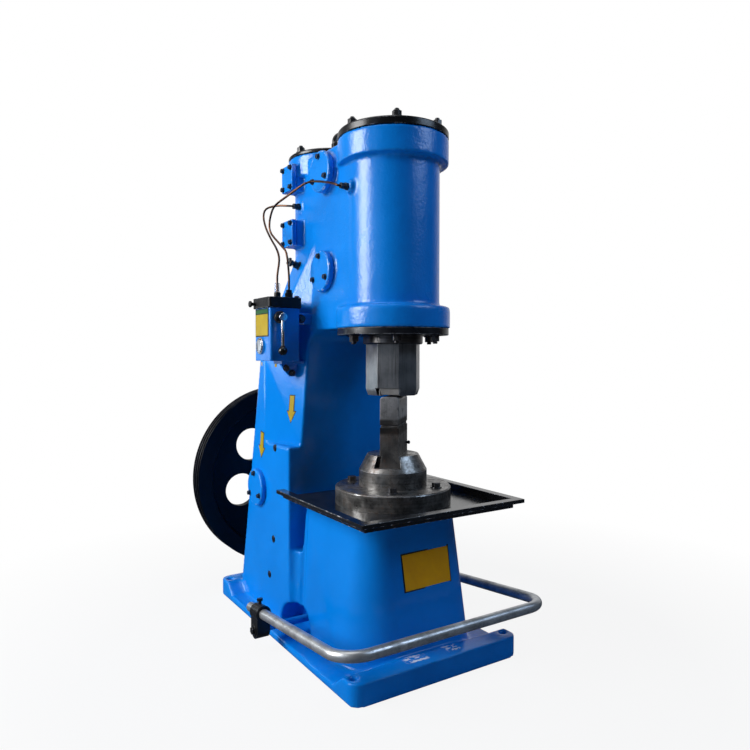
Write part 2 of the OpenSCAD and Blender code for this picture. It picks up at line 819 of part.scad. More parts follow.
module upper_valve_cover_left() {
    side_disc(-1, valve_seat, valve_y, valve_up_z, valve_cover_r, valve_cover_t);
}

module lower_valve_cover_left() {
    side_disc(-1, valve_seat, valve_y, valve_low_z, valve_cover_r, valve_cover_t);
}

module upper_valve_cover_right() {
    side_disc(1, valve_seat, valve_y, valve_up_z, valve_cover_r, valve_cover_t);
}

module lower_valve_cover_right() {
    side_disc(1, valve_seat, valve_y, valve_low_z, valve_cover_r, valve_cover_t);
}

module port_cover(side, z) {
    translate([side * (port_seat + port_t / 2), rear_y, z])
        cube([port_t, port_w, port_h], center = true);
}

module upper_port_cover_left() { port_cover(-1, port_up_z); }
module lower_port_cover_left() { port_cover(-1, port_low_z); }
module upper_port_cover_right() { port_cover(1, port_up_z); }
module lower_port_cover_right() { port_cover(1, port_low_z); }

module crank_cover_left() {
    side_disc(-1, column_w / 2, crank_cover_y, crank_cover_z, crank_cover_r, crank_cover_t);
}

module crank_cover_right() {
    side_disc(1, column_w / 2, crank_cover_y, crank_cover_z, crank_cover_r, crank_cover_t);
}

// anvil block: disc, boss and cone, with the dovetail slot across its top
module anvil_block() {
    difference() {
        rotate_extrude() polygon([[0, pedestal_z], [anvil_disc_r, pedestal_z],
            [anvil_disc_r, disc_top_z - cap_chamfer], [anvil_disc_r - cap_chamfer, disc_top_z],
            [anvil_boss_r, disc_top_z], [anvil_boss_r, disc_top_z + anvil_boss_h],
            [anvil_nose_r, nose_z], [0, nose_z]]);
        translate([0, 0, nose_z]) rotate([0, 0, die_turn]) along_slot(4 * anvil_boss_r)
            union() { dovetail(dovetail_d); translate([-dovetail_w / 2, -1]) square([dovetail_w, 2]); }
    }
}

module lower_die() {
    translate([0, 0, nose_z]) rotate([0, 0, die_turn]) {
        translate([-die_l / 2, -die_w / 2 - die_shift, 0]) cube([die_l, die_w, lower_die_h]);
        along_slot(die_l) die_tail(dovetail_d);
    }
}

module lower_die_key() {
    translate([0, 0, nose_z]) rotate([0, 0, die_turn])
        along_slot(die_l - 2 * key_in) key_section(dovetail_d);
}

// block inside the tray's left, right and front sides, open towards the column
module tray_block(inset, low, high, past = 0) {
    translate([-tray_w / 2 + inset, -tray_front + inset, low])
        cube([tray_w - 2 * inset, tray_l - inset + past, high - low]);
}

// tray plate clamped between the pedestal and the anvil block's disc
module tray_floor() {
    difference() {
        tray_block(tray_flange, seat_z, pedestal_z);
        translate([0, 0, seat_z - 1]) cylinder(r = spigot_r + tray_clear, h = tray_t + 2);
    }
}

// rim on three sides of the plate: wall, outward flange and turned down edge
module tray_rim() {
    top = seat_z + tray_rim_h;
    difference() {
        union() {
            difference() {
                tray_block(0, top - tray_edge, top);
                tray_block(tray_wall, top - tray_edge - 1, top - tray_wall, 1);
            }
            tray_block(tray_flange - tray_wall, seat_z, top - tray_wall / 2);
        }
        tray_block(tray_flange, seat_z - 1, top + 1, 1);
    }
}

// oil box with a boss for the hand lever on its front
module lubricator_box() {
    difference() {
        union() {
            translate([-oil_x, oil_y, oil_z]) linear_extrude(oil_h)
                round_rect([oil_w, oil_d], oil_corner_r);
            translate([lever_x, oil_y - lever_boss_t, lever_z])
                rod_y(lever_boss_r, lever_boss_t + oil_corner_r);
        }
        translate([lever_x, oil_y - lever_boss_t - 1, lever_z])
            rod_y(lever_shaft_r + shaft_gap, lever_boss_t + lever_sink + 3);
    }
}

module lubricator_lid() {
    translate([-oil_x - oil_lid_out, oil_y - oil_lid_out, oil_top_z]) linear_extrude(oil_lid_t)
        round_rect([oil_w + 2 * oil_lid_out, oil_d + 2 * oil_lid_out], oil_corner_r);
    for (p = [front_line_foot, rear_line_foot])
        translate([p[0], p[1], lid_top_z]) cylinder(r = nut_r, h = nut_h);
}

// shelf and rib that carry the oil box on the column's side
module lubricator_bracket() {
    y0 = oil_y + (oil_d - bracket_w) / 2 + bracket_back;
    difference() {
        union() {
            translate([-oil_x + shelf_in, y0, oil_z - bracket_t]) cube([oil_x, bracket_w, bracket_t]);
            translate([0, y0 + bracket_w / 2 + bracket_t / 2, oil_z - bracket_t])
                rotate([90, 0, 0]) linear_extrude(bracket_t)
                polygon([[-oil_x + rib_in, 0], [0, 0], [0, -bracket_h],
                    [-neck_top_w / 2 - rib_foot, -bracket_h]]);
        }
        upper_column();
        translate([-neck_top_w / 2, oil_y, 0]) cube([neck_top_w, column_w, shoulder_z]);
    }
}

module sight_glass() {
    translate([-oil_x, oil_y + oil_d - glass_in, oil_z + glass_up]) rotate([0, -90, 0])
        cap_disc(glass_r, glass_t, glass_chamfer);
}

// hand lever: shaft in the box's boss, hub, rod and ball
module lubricator_lever() {
    front = oil_y - lever_boss_t - lever_out;
    hub_mid = front - 2 + lever_hub_l / 2;
    translate([lever_x, front, lever_z]) rod_y(lever_shaft_r, lever_out + lever_boss_t + lever_sink);
    translate([lever_x, front - 2, lever_z]) rod_y(lever_shaft_r + lever_hub_wall, lever_hub_l);
    translate([lever_x, hub_mid, lever_z - lever_l]) {
        cylinder(r = lever_rod_r, h = lever_l);
        sphere(lever_ball_r);
    }
}

module front_oil_fitting() {
    translate([-front_boss[0] - fitting_l, front_boss[1], front_fitting_z]) rod_x(fitting_r, fitting_l);
}

module rear_oil_fitting() {
    translate([-rear_boss[0] - fitting_l, rear_boss[1], rear_fitting_z]) rod_x(fitting_r, fitting_l);
}

module front_oil_line() {
    tube(bent_route(front_line_start, front_line_stop, front_bends), line_r, [0, 0, 1], [1, 0, 0]);
}

module rear_oil_line() {
    tube(bent_route(rear_line_start, rear_line_stop, rear_bends), line_r, [0, 0, 1], [1, 0, 0]);
}

// bearing housing seated on the column's leaning back
module bearing_housing() {
    difference() {
        union() {
            translate([0, column_back_top, crank_z])
                rod_y(housing_r, housing_end - housing_cover_t - column_back_top);
            translate([0, housing_end - housing_cover_t - 1, crank_z])
                rod_y(housing_cover_r, housing_cover_t + 1);
        }
        column_side(column_w, plate_t, ledge_z);
        translate([0, crank_front - crank_clear / 2, crank_z]) rod_y(shaft_r + shaft_gap, base_back);
    }
}

module crankshaft() {
    translate([0, crank_front, crank_z]) rod_y(shaft_r, hub_y + hub_l - crank_front + 1);
    translate([0, hub_y + hub_l, crank_z]) rod_y(washer_r, washer_t);
}

// rim with belt grooves, web with lightening holes, hub on the crankshaft
module flywheel() {
    r = wheel_r;
    pitch = rim_w / groove_n;
    grooves = [for (i = [0:groove_n - 1], k = [0:3]) let (c = -rim_w / 2 + pitch * (i + 0.5))
        k == 0 ? [r, c - groove_w / 2] : k == 1 ? [r - groove_d, c - groove_w / 4]
        : k == 2 ? [r - groove_d, c + groove_w / 4] : [r, c + groove_w / 2]];
    translate([0, wheel_mid, crank_z]) rotate([-90, 0, 0]) difference() {
        rotate_extrude($fn = 120) polygon(concat(
            [[shaft_r + shaft_gap, -hub_l / 2], [hub_r, -hub_l / 2], [hub_r, -web_t / 2],
             [r - rim_d, -web_t / 2], [r - rim_d + rim_draft, -rim_w / 2], [r, -rim_w / 2]],
            grooves,
            [[r, rim_w / 2], [r - rim_d + rim_draft, rim_w / 2], [r - rim_d, web_t / 2],
             [hub_r, web_t / 2], [hub_r, hub_l / 2], [shaft_r + shaft_gap, hub_l / 2]]));
        for (i = [0:light_n - 1]) rotate([0, 0, light_turn + 360 / light_n * i])
            translate([light_pcd_r, 0, -web_t]) cylinder(r = light_r, h = 2 * web_t);
    }
}

module treadle_shaft() {
    translate([-clamp_out, treadle_y, treadle_z]) rod_x(treadle_shaft_r, 2 * clamp_out);
}

// bent pipe loop round the base, open at its two back ends
module treadle_bar() {
    reach = treadle_reach / cos(treadle_tilt);
    b = treadle_bend;
    on_treadle_plane() difference() {
        union() {
            translate([-arm_x + b, -reach, 0]) rod_x(pipe_r, 2 * (arm_x - b));
            for (s = [-1, 1]) {
                translate([s * arm_x, -reach + b, 0]) rod_y(pipe_r, reach - b + pipe_tail);
                translate([s * (arm_x - b), -reach + b, 0]) rotate([0, 0, s < 0 ? 180 : 270])
                    rotate_extrude(angle = 90) translate([b, 0]) circle(pipe_r, $fn = 36);
            }
        }
        for (s = [-1, 1]) translate([s * arm_x, pipe_tail - pipe_hollow, 0])
            rod_y(pipe_bore_r, 2 * pipe_hollow);
    }
}

// clamp that holds an arm on the treadle shaft: sleeve, lug and set screw
module treadle_clamp(side) {
    difference() {
        union() {
            translate([side * arm_x - lug_t / 2, treadle_y - lug_w / 2, treadle_z])
                cube([lug_t, lug_w, treadle_back_z - treadle_z]);
            translate([side * arm_x - lug_t / 2, treadle_y, treadle_z]) rod_x(lug_w / 2, lug_t);
            on_treadle_plane() {
                translate([side * arm_x, -clamp_l / 2, 0]) rod_y(sleeve_r, clamp_l);
                translate([side * arm_x, 0, pipe_r]) {
                    cylinder(r = clamp_screw_r, h = clamp_wall + clamp_screw_h);
                    translate([0, 0, clamp_wall + clamp_screw_h - 1])
                        cylinder(r = screw_head_r, h = screw_head_h + 1);
                }
            }
        }
        translate([side * arm_x - lug_t, treadle_y, treadle_z])
            rod_x(treadle_shaft_r + shaft_gap, 2 * lug_t);
        on_treadle_plane() translate([side * arm_x, -clamp_l, 0])
            rod_y(pipe_r + shaft_gap, 2 * clamp_l);
    }
}

module treadle_clamp_left() { treadle_clamp(-1); }
module treadle_clamp_right() { treadle_clamp(1); }

// octagonal ram with a bevelled foot and the dovetail slot for the upper die
module ram() {
    difference() {
        union() {
            translate([0, 0, ram_z + ram_bevel_h]) linear_extrude(ram_l - ram_bevel_h) octagon(ram_af);
            translate([0, 0, ram_z + ram_bevel_h]) mirror([0, 0, 1])
                linear_extrude(ram_bevel_h, scale = 1 - 2 * ram_bevel / ram_af) octagon(ram_af);
        }
        translate([0, 0, ram_z]) mirror([0, 0, 1]) rotate([0, 0, die_turn])
            along_slot(2 * ram_af)
            union() { dovetail(ram_slot_d); translate([-dovetail_w / 2, -1]) square([dovetail_w, 2]); }
    }
}

// upper die, its tail cut to the ram's eight sides
module upper_die() {
    translate([0, 0, ram_z]) mirror([0, 0, 1]) rotate([0, 0, die_turn])
        translate([-die_l / 2, -die_w / 2 - die_shift, 0]) cube([die_l, die_w, upper_die_h]);
    intersection() {
        translate([0, 0, ram_z]) mirror([0, 0, 1]) rotate([0, 0, die_turn])
            along_slot(ram_af) die_tail(ram_slot_d);
        translate([0, 0, ram_z - 1]) linear_extrude(ram_slot_d + 2) octagon(min(die_l, ram_af - 1));
    }
}

// key of the upper die, cut flush inside the ram's flats
module upper_die_key() {
    intersection() {
        translate([0, 0, ram_z]) mirror([0, 0, 1]) rotate([0, 0, die_turn])
            along_slot(ram_af) key_section(ram_slot_d);
        translate([0, 0, ram_z - 1]) linear_extrude(ram_slot_d + 2) octagon(ram_af - 2 * key_inset);
    }
}

base_plate();
anvil_pedestal();
column();
cylinder_block();
front_cylinder_cap();
rear_cylinder_cap();
lifting_eye();
gland_plate();
gland_ring();
upper_valve_cover_left();
lower_valve_cover_left();
upper_valve_cover_right();
lower_valve_cover_right();
upper_port_cover_left();
lower_port_cover_left();
upper_port_cover_right();
lower_port_cover_right();
crank_cover_left();
crank_cover_right();
anvil_block();
lower_die();
lower_die_key();
tray_floor();
tray_rim();
lubricator_box();
lubricator_lid();
lubricator_bracket();
sight_glass();
lubricator_lever();
front_oil_fitting();
rear_oil_fitting();
front_oil_line();
rear_oil_line();
bearing_housing();
crankshaft();
flywheel();
treadle_shaft();
treadle_bar();
treadle_clamp_left();
treadle_clamp_right();
ram();
upper_die();
upper_die_key();
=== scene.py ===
import bmesh
import bpy
import math
from mathutils import Matrix, Vector
from mathutils.bvhtree import BVHTree


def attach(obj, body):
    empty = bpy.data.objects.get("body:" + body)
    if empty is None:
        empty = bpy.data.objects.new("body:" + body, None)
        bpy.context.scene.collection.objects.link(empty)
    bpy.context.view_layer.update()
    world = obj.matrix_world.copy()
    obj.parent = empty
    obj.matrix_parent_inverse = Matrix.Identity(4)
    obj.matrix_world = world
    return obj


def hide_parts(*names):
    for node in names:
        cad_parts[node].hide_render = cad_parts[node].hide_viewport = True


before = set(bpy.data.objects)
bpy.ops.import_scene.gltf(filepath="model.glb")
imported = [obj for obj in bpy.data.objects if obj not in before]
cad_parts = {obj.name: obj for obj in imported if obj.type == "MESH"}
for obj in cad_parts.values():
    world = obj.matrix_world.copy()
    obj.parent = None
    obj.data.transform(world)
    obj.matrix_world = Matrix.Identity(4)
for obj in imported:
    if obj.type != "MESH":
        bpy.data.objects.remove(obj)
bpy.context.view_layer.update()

# Studio: a pale floor that runs into white. A large soft lamp and a narrow panel stand at
# the hammer's left, one lamp is high in front, one overhead, and a small card lights the
# ram from behind. The camera stands where the photographer stood, a little under the head.
scene = bpy.context.scene
scene.view_settings.view_transform = "Standard"
eye = bpy.data.objects.new("eye", bpy.data.cameras.new("eye"))
eye.data.sensor_width = 36.0
eye.data.lens = 31.46
eye.location = (-0.880, -1.2946, 0.7072)
eye.rotation_euler = (math.radians(88.23), 0.0, math.radians(-32.64))
scene.collection.objects.link(eye)
scene.camera = eye


def wire(tree, source, target):
    tree.links.new(source, target)


def shader_node(tree, kind, settings=None, values=None):
    made = tree.nodes.new(kind)
    for name, value in (settings or {}).items():
        setattr(made, name, value)
    for name, value in (values or {}).items():
        made.inputs[name].default_value = value
    return made


def spread(tree, value, low, high, to_low=0.0, to_high=1.0):
    made = shader_node(tree, "ShaderNodeMapRange", {"clamp": True},
                       {"From Min": low, "From Max": high, "To Min": to_low, "To Max": to_high})
    wire(tree, value, made.inputs["Value"])
    return made.outputs[0]


def maths(tree, kind, first, second, clamp=True):
    made = shader_node(tree, "ShaderNodeMath", {"operation": kind, "use_clamp": clamp})
    for i, item in enumerate((first, second)):
        if isinstance(item, (int, float)):
            made.inputs[i].default_value = item
        else:
            wire(tree, item, made.inputs[i])
    return made.outputs[0]


def soft_lamp(name, place, aim, width, height, watts, tint=(1.0, 1.0, 1.0)):
    data = bpy.data.lights.new(name, "AREA")
    data.shape = "RECTANGLE"
    data.size, data.size_y, data.energy, data.color = width, height, watts, tint
    lamp = bpy.data.objects.new(name, data)
    lamp.location = place
    lamp.rotation_euler = (Vector(aim) - Vector(place)).to_track_quat("-Z", "Y").to_euler()
    scene.collection.objects.link(lamp)


soft_lamp("left_softbox", (-2.46, 0.78, 1.60), (0.0, 0.1, 0.60), 1.25, 1.5, 84)
soft_lamp("left_panel", (-2.45, -0.85, 1.2), (0.0, 0.0, 0.7), 0.5, 1.8, 2.5, (0.6, 0.76, 1.0))
soft_lamp("high_front", (1.2, -1.7, 2.3), (0.0, 0.0, 0.8), 1.2, 1.2, 23, (0.58, 0.76, 1.0))
soft_lamp("top_softbox", (-0.5, 0.3, 2.9), (0.0, 0.1, 0.0), 1.4, 1.4, 12)
soft_lamp("ram_card", (-1.22, 1.80, 0.66), (-0.06, 0.0, 0.66), 0.30, 0.40, 2.2, (0.80, 0.92, 1.0))

# the air is white to the camera, pale behind the hammer in its reflections, dim elsewhere
world = bpy.data.worlds.new("studio")
scene.world = world
world.use_nodes = True
air = world.node_tree
air.nodes.clear()
ray = shader_node(air, "ShaderNodeLightPath")
seen = maths(air, "MAXIMUM", ray.outputs["Is Camera Ray"], ray.outputs["Is Transmission Ray"])
way = shader_node(air, "ShaderNodeTexCoord")
behind = shader_node(air, "ShaderNodeVectorMath", {"operation": "DOT_PRODUCT"})
behind.inputs[1].default_value = (0.56, 0.83, 0.0)
wire(air, way.outputs["Generated"], behind.inputs[0])
pale = spread(air, behind.outputs["Value"], 0.45, 0.95, 0.03, 0.80)
strength = shader_node(air, "ShaderNodeMix", values={"A": 0.035})
wire(air, ray.outputs["Is Glossy Ray"], strength.inputs["Factor"])
wire(air, pale, strength.inputs["B"])
glow = shader_node(air, "ShaderNodeMix", values={"B": 1.0})
wire(air, seen, glow.inputs["Factor"])
wire(air, strength.outputs["Result"], glow.inputs["A"])
tint = shader_node(air, "ShaderNodeMix", {"data_type": "RGBA"})
tint.inputs[6].default_value = (0.16, 0.36, 1.0, 1.0)
tint.inputs[7].default_value = (1.0, 1.0, 1.0, 1.0)
wire(air, maths(air, "MAXIMUM", seen, ray.outputs["Is Glossy Ray"]), tint.inputs["Factor"])
sky = shader_node(air, "ShaderNodeBackground")
wire(air, tint.outputs[2], sky.inputs["Color"])
wire(air, glow.outputs["Result"], sky.inputs["Strength"])
wire(air, sky.outputs[0], shader_node(air, "ShaderNodeOutputWorld").inputs["Surface"])


def new_material(name):
    made = bpy.data.materials.new(name)
    made.use_nodes = True
    tree = made.node_tree
    tree.nodes.clear()
    bsdf = shader_node(tree, "ShaderNodeBsdfPrincipled")
    out = shader_node(tree, "ShaderNodeOutputMaterial")
    wire(tree, bsdf.outputs[0], out.inputs["Surface"])
    return made, tree, bsdf


def mesh_piece(name, bm, material, body, slot, *nodes):
    data = bpy.data.meshes.new(name)
    bm.to_mesh(data)
    bm.free()
    piece = bpy.data.objects.new(name, data)
    scene.collection.objects.link(piece)
    data.materials.append(material)
    even = piece.modifiers.new("even", "WEIGHTED_NORMAL")
    even.keep_sharp = True
    if body:
        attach(piece, body)
    if nodes:
        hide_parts(*nodes)
    return piece


floor_paper, paper, paper_bsdf = new_material("floor_paper")
paper_bsdf.inputs["Roughness"].default_value = 0.9
lit = shader_node(paper, "ShaderNodeEmission", values={"Color": (1.0, 1.0, 1.0, 1.0), "Strength": 1.0})
shade = shader_node(paper, "ShaderNodeMixShader")
here = shader_node(paper, "ShaderNodeTexCoord")
far = shader_node(paper, "ShaderNodeVectorMath", {"operation": "LENGTH"})
wire(paper, here.outputs["Object"], far.inputs[0])
fade = spread(paper, far.outputs["Value"], 0.7, 1.5, 0.90, 1.0)
look = shader_node(paper, "ShaderNodeLightPath")
mirror = maths(paper, "MULTIPLY", look.outputs["Is Glossy Ray"], 0.02)
bounce = shader_node(paper, "ShaderNodeMix", {"data_type": "RGBA"})
bounce.inputs[6].default_value = (0.40, 0.43, 0.47, 1.0)
bounce.inputs[7].default_value = (0.02, 0.03, 0.05, 1.0)
wire(paper, look.outputs["Is Glossy Ray"], bounce.inputs["Factor"])
wire(paper, bounce.outputs[2], paper_bsdf.inputs["Base Color"])
direct = maths(paper, "MAXIMUM", look.outputs["Is Camera Ray"], look.outputs["Is Transmission Ray"])
wire(paper, maths(paper, "MULTIPLY", fade, maths(paper, "MAXIMUM", direct, mirror)), shade.inputs["Fac"])
wire(paper, paper_bsdf.outputs[0], shade.inputs[1])
wire(paper, lit.outputs[0], shade.inputs[2])
wire(paper, shade.outputs[0], paper.nodes["Material Output"].inputs["Surface"])
bm = bmesh.new()
bmesh.ops.create_circle(bm, cap_ends=True, segments=96, radius=9.0)
bmesh.ops.translate(bm, vec=(0.0, 0.0, -0.001), verts=bm.verts)
mesh_piece("floor", bm, floor_paper, None, None)

# Lower casting: base plate with raised end bars, anvil pedestal and leaning column,
# iron cast as one with round fillets, then sprayed with glossy blue enamel. It is
# skinned over the CAD solids so that corners and inner angles come out rounded.


def noise(tree, scale, detail=3.0, rough=0.55, stretch=None):
    place = shader_node(tree, "ShaderNodeTexCoord")
    grain = shader_node(tree, "ShaderNodeTexNoise",
                        values={"Scale": scale, "Detail": detail, "Roughness": rough})
    if stretch:
        turn = shader_node(tree, "ShaderNodeMapping", values={"Scale": stretch})
        wire(tree, place.outputs["Object"], turn.inputs["Vector"])
        wire(tree, turn.outputs[0], grain.inputs["Vector"])
    else:
        wire(tree, place.outputs["Object"], grain.inputs["Vector"])
    return grain.outputs["Fac"]


def blend_colour(tree, amount, first, second):
    made = shader_node(tree, "ShaderNodeMix", {"data_type": "RGBA"})
    wire(tree, amount, made.inputs["Factor"])
    for socket, item in ((made.inputs[6], first), (made.inputs[7], second)):
        if isinstance(item, tuple):
            socket.default_value = (*item, 1.0)
        else:
            wire(tree, item, socket)
    return made.outputs[2]


def new_group(name, inputs, outputs):
    group = bpy.data.node_groups.new(name, "ShaderNodeTree")
    for label, value in inputs:
        socket = group.interface.new_socket(label, in_out="INPUT", socket_type="NodeSocketFloat")
        socket.default_value = value
    for label in outputs:
        group.interface.new_socket(label, in_out="OUTPUT", socket_type="NodeSocketFloat")
    return group, shader_node(group, "NodeGroupInput"), shader_node(group, "NodeGroupOutput")


# skin of sprayed enamel over a sand casting: fine orange peel on a slow waviness
enamel_skin, given, result = new_group("enamel_skin", [("Peel", 1.0), ("Wave", 1.0)], ["Height", "Cloud"])
peel = maths(enamel_skin, "MULTIPLY", noise(enamel_skin, 175.0, 2.0), given.outputs["Peel"])
wave = maths(enamel_skin, "MULTIPLY", noise(enamel_skin, 30.0, 2.0), given.outputs["Wave"])
total = shader_node(enamel_skin, "ShaderNodeMath", {"operation": "MULTIPLY_ADD"})
total.inputs[1].default_value = 1.2
wire(enamel_skin, wave, total.inputs[0])
wire(enamel_skin, peel, total.inputs[2])
wire(enamel_skin, total.outputs[0], result.inputs["Height"])
wire(enamel_skin, noise(enamel_skin, 6.0, 4.0), result.inputs["Cloud"])

# rubbing and small chips on the corners, which the pieces' own attribute marks
edge_wear, given, result = new_group("edge_wear", [("Amount", 0.5)], ["Mask"])
mark = shader_node(edge_wear, "ShaderNodeAttribute", {"attribute_name": "edge"})
flaked = spread(edge_wear, noise(edge_wear, 70.0, 6.0, 0.7), 0.54, 0.64)
worn = maths(edge_wear, "MULTIPLY", spread(edge_wear, mark.outputs["Fac"], 0.35, 0.8), flaked)
wire(edge_wear, maths(edge_wear, "MULTIPLY", worn, given.outputs["Amount"]), result.inputs["Mask"])

# grey dust that settles on faces turned upwards, and painted shade: inner angles darkened in patches
dust_and_nook_shade, given, result = new_group("dust_and_nook_shade", [("Amount", 0.5)], ["Dust", "NookShade"])
facing = shader_node(dust_and_nook_shade, "ShaderNodeNewGeometry")
split = shader_node(dust_and_nook_shade, "ShaderNodeSeparateXYZ")
wire(dust_and_nook_shade, facing.outputs["Normal"], split.inputs[0])
up = spread(dust_and_nook_shade, split.outputs["Z"], 0.6, 1.0)
speck = spread(dust_and_nook_shade, noise(dust_and_nook_shade, 16.0, 7.0, 0.7), 0.46, 0.78)
film = maths(dust_and_nook_shade, "MULTIPLY", up, speck)
wire(dust_and_nook_shade, maths(dust_and_nook_shade, "MULTIPLY", film, given.outputs["Amount"]), result.inputs["Dust"])
# painted shade: inner angles, marked by nook and broken into patches, come out darker
nook = shader_node(dust_and_nook_shade, "ShaderNodeAttribute", {"attribute_name": "nook"})
patchy = spread(dust_and_nook_shade, noise(dust_and_nook_shade, 24.0, 4.0), 0.3, 0.7)
held = maths(dust_and_nook_shade, "MULTIPLY", nook.outputs["Fac"], patchy)
wire(dust_and_nook_shade, held, result.inputs["NookShade"])


def use_group(tree, group, **values):
    made = shader_node(tree, "ShaderNodeGroup", {"node_tree": group})
    for name, value in values.items():
        made.inputs[name].default_value = value
    return made


def bump(tree, bsdf, height, depth):
    made = shader_node(tree, "ShaderNodeBump", values={"Strength": 1.0, "Distance": depth})
    wire(tree, height, made.inputs["Height"])
    wire(tree, made.outputs[0], bsdf.inputs["Normal"])


def along(tree, axis):
    place = shader_node(tree, "ShaderNodeTexCoord")
    split = shader_node(tree, "ShaderNodeSeparateXYZ")
    wire(tree, place.outputs["Object"], split.inputs[0])
    return split.outputs[axis]


def within(tree, axis, low, high, soft):
    value = along(tree, axis)
    rise = spread(tree, value, low - soft, low)
    fall = spread(tree, value, high, high + soft, 1.0, 0.0)
    return maths(tree, "MULTIPLY", rise, fall)


sandy_from, sandy_to = 0.66, 0.80


# sprayed enamel; sandy makes it rougher and more grained on the head than on the column
def enamel(name, deep, pale, chip, dust, peel=1.0, gloss=(0.12, 0.20), wear=0.6, spec=0.5,
           depth=0.00026, marks=(), sandy=0.0):
    made, tree, bsdf = new_material(name)
    skin = use_group(tree, enamel_skin, Peel=peel, Wave=1.0)
    colour = blend_colour(tree, spread(tree, skin.outputs["Cloud"], 0.35, 0.65), deep, pale)
    dust_and_shade = use_group(tree, dust_and_nook_shade, Amount=dust)
    # painted shade: in inner angles the colour falls towards a quarter of the deep tone
    dark = maths(tree, "MULTIPLY", dust_and_shade.outputs["NookShade"], 0.45)
    colour = blend_colour(tree, dark, colour, tuple(0.25 * c for c in deep))
    for mask_of, tone in marks:
        colour = blend_colour(tree, mask_of(tree), colour, tone)
    colour = blend_colour(tree, dust_and_shade.outputs["Dust"], colour, (0.30, 0.31, 0.33))
    chips = use_group(tree, edge_wear, Amount=wear)
    colour = blend_colour(tree, chips.outputs["Mask"], colour, chip)
    wire(tree, colour, bsdf.inputs["Base Color"])
    shine = spread(tree, skin.outputs["Cloud"], 0.3, 0.7, *gloss)
    shine = maths(tree, "ADD", shine, maths(tree, "MULTIPLY", dust_and_shade.outputs["Dust"], 0.4))
    height = skin.outputs["Height"]
    if sandy:
        head = spread(tree, along(tree, "Z"), sandy_from, sandy_to)
        shine = maths(tree, "ADD", shine, maths(tree, "MULTIPLY", head, sandy))
        height = maths(tree, "MULTIPLY", height, spread(tree, head, 0.0, 1.0, 1.0, 2.6), False)
        wire(tree, spread(tree, head, 0.0, 1.0, 0.32, spec), bsdf.inputs["Specular IOR Level"])
    else:
        bsdf.inputs["Specular IOR Level"].default_value = spec
    wire(tree, shine, bsdf.inputs["Roughness"])
    bump(tree, bsdf, height, depth)
    return made


blue_deep, blue_pale, blue_chip = (0.0010, 0.205, 0.70), (0.0015, 0.232, 0.77), (0.45, 0.60, 0.75)
blue_enamel = enamel("blue_enamel", blue_deep, blue_pale, blue_chip, 0.10, sandy=0.08)


def front_bar_scuffs(tree):
    top = maths(tree, "MULTIPLY", within(tree, "Z", 0.044, 0.053, 0.002),
                within(tree, "Y", -0.172, -0.146, 0.006))
    spots = maths(tree, "MAXIMUM", within(tree, "X", -0.072, -0.026, 0.008),
                  within(tree, "X", 0.036, 0.064, 0.006))
    torn = spread(tree, noise(tree, 60.0, 5.0, 0.65, (1.0, 2.2, 1.0)), 0.50, 0.55)
    return maths(tree, "MULTIPLY", maths(tree, "MULTIPLY", top, spots), torn)


scuffed_enamel = enamel("scuffed_enamel", blue_deep, blue_pale, blue_chip, 0.10,
                        marks=[(front_bar_scuffs, (0.85, 0.90, 0.95))], sandy=0.08)


# closed prism: the face of an outline, drawn out along a way
def prism(bm, outline, way):
    start = bm.faces.new([bm.verts.new(spot) for spot in outline])
    drawn = bmesh.ops.extrude_face_region(bm, geom=[start])["geom"]
    ends = [v for v in drawn if isinstance(v, bmesh.types.BMVert)]
    bmesh.ops.translate(bm, vec=way, verts=ends)
    bmesh.ops.recalc_face_normals(bm, faces=list({f for v in ends for f in v.link_faces} | {start}))


fillet_half, fillet_y, fillet_z, fillet_radius, fillet_sink = 0.1215, 0.156, 0.729, 0.041, 0.004


# round of the inner angle where the head's underside meets the neck
def throat_fillet(bm):
    back, top = fillet_y + fillet_radius + fillet_sink, fillet_z + fillet_radius + fillet_sink
    rim = [(back, fillet_z), (back, top), (fillet_y, top)]
    for turn in range(90, -1, -9):
        turn = math.radians(turn)
        rim.append((fillet_y + fillet_radius * math.cos(turn), fillet_z + fillet_radius * math.sin(turn)))
    prism(bm, [(-fillet_half, y, z) for y, z in rim], (2.0 * fillet_half, 0.0, 0.0))


def share(value, low, high):
    return min(max((value - low) / (high - low), 0.0), 1.0)


web_front, web_back, web_low, web_high, web_side = 0.150, 0.196, 0.06, 0.3535, 0.12
hollow_low, hollow_more, hollow_ramp = 0.0125, 0.0085, 0.03


# shallow hollow in the sides between the pedestal and the column, deeper towards the tray
def web_hollow(bm):
    for v in bm.verts:
        side, run = abs(v.co.x), share(v.co.y, web_front, web_back)
        if 0.0 < run < 1.0 and web_low < v.co.z < web_high and side > web_side:
            dip = hollow_low + hollow_more * share(v.co.z, 0.2, 0.35)
            dip *= share(v.co.z, web_low, web_low + hollow_ramp)
            dip *= share(side, web_side, web_side + hollow_ramp)
            v.co.x -= math.copysign(dip * math.sin(math.pi * run), v.co.x)


def rub(bm, verts, times):
    for _ in range(times):
        bmesh.ops.smooth_vert(bm, verts=verts, factor=0.5,
                              use_axis_x=True, use_axis_y=True, use_axis_z=True)


ledge_low, ledge_high, flange_root = 0.45, 0.50, 1.10


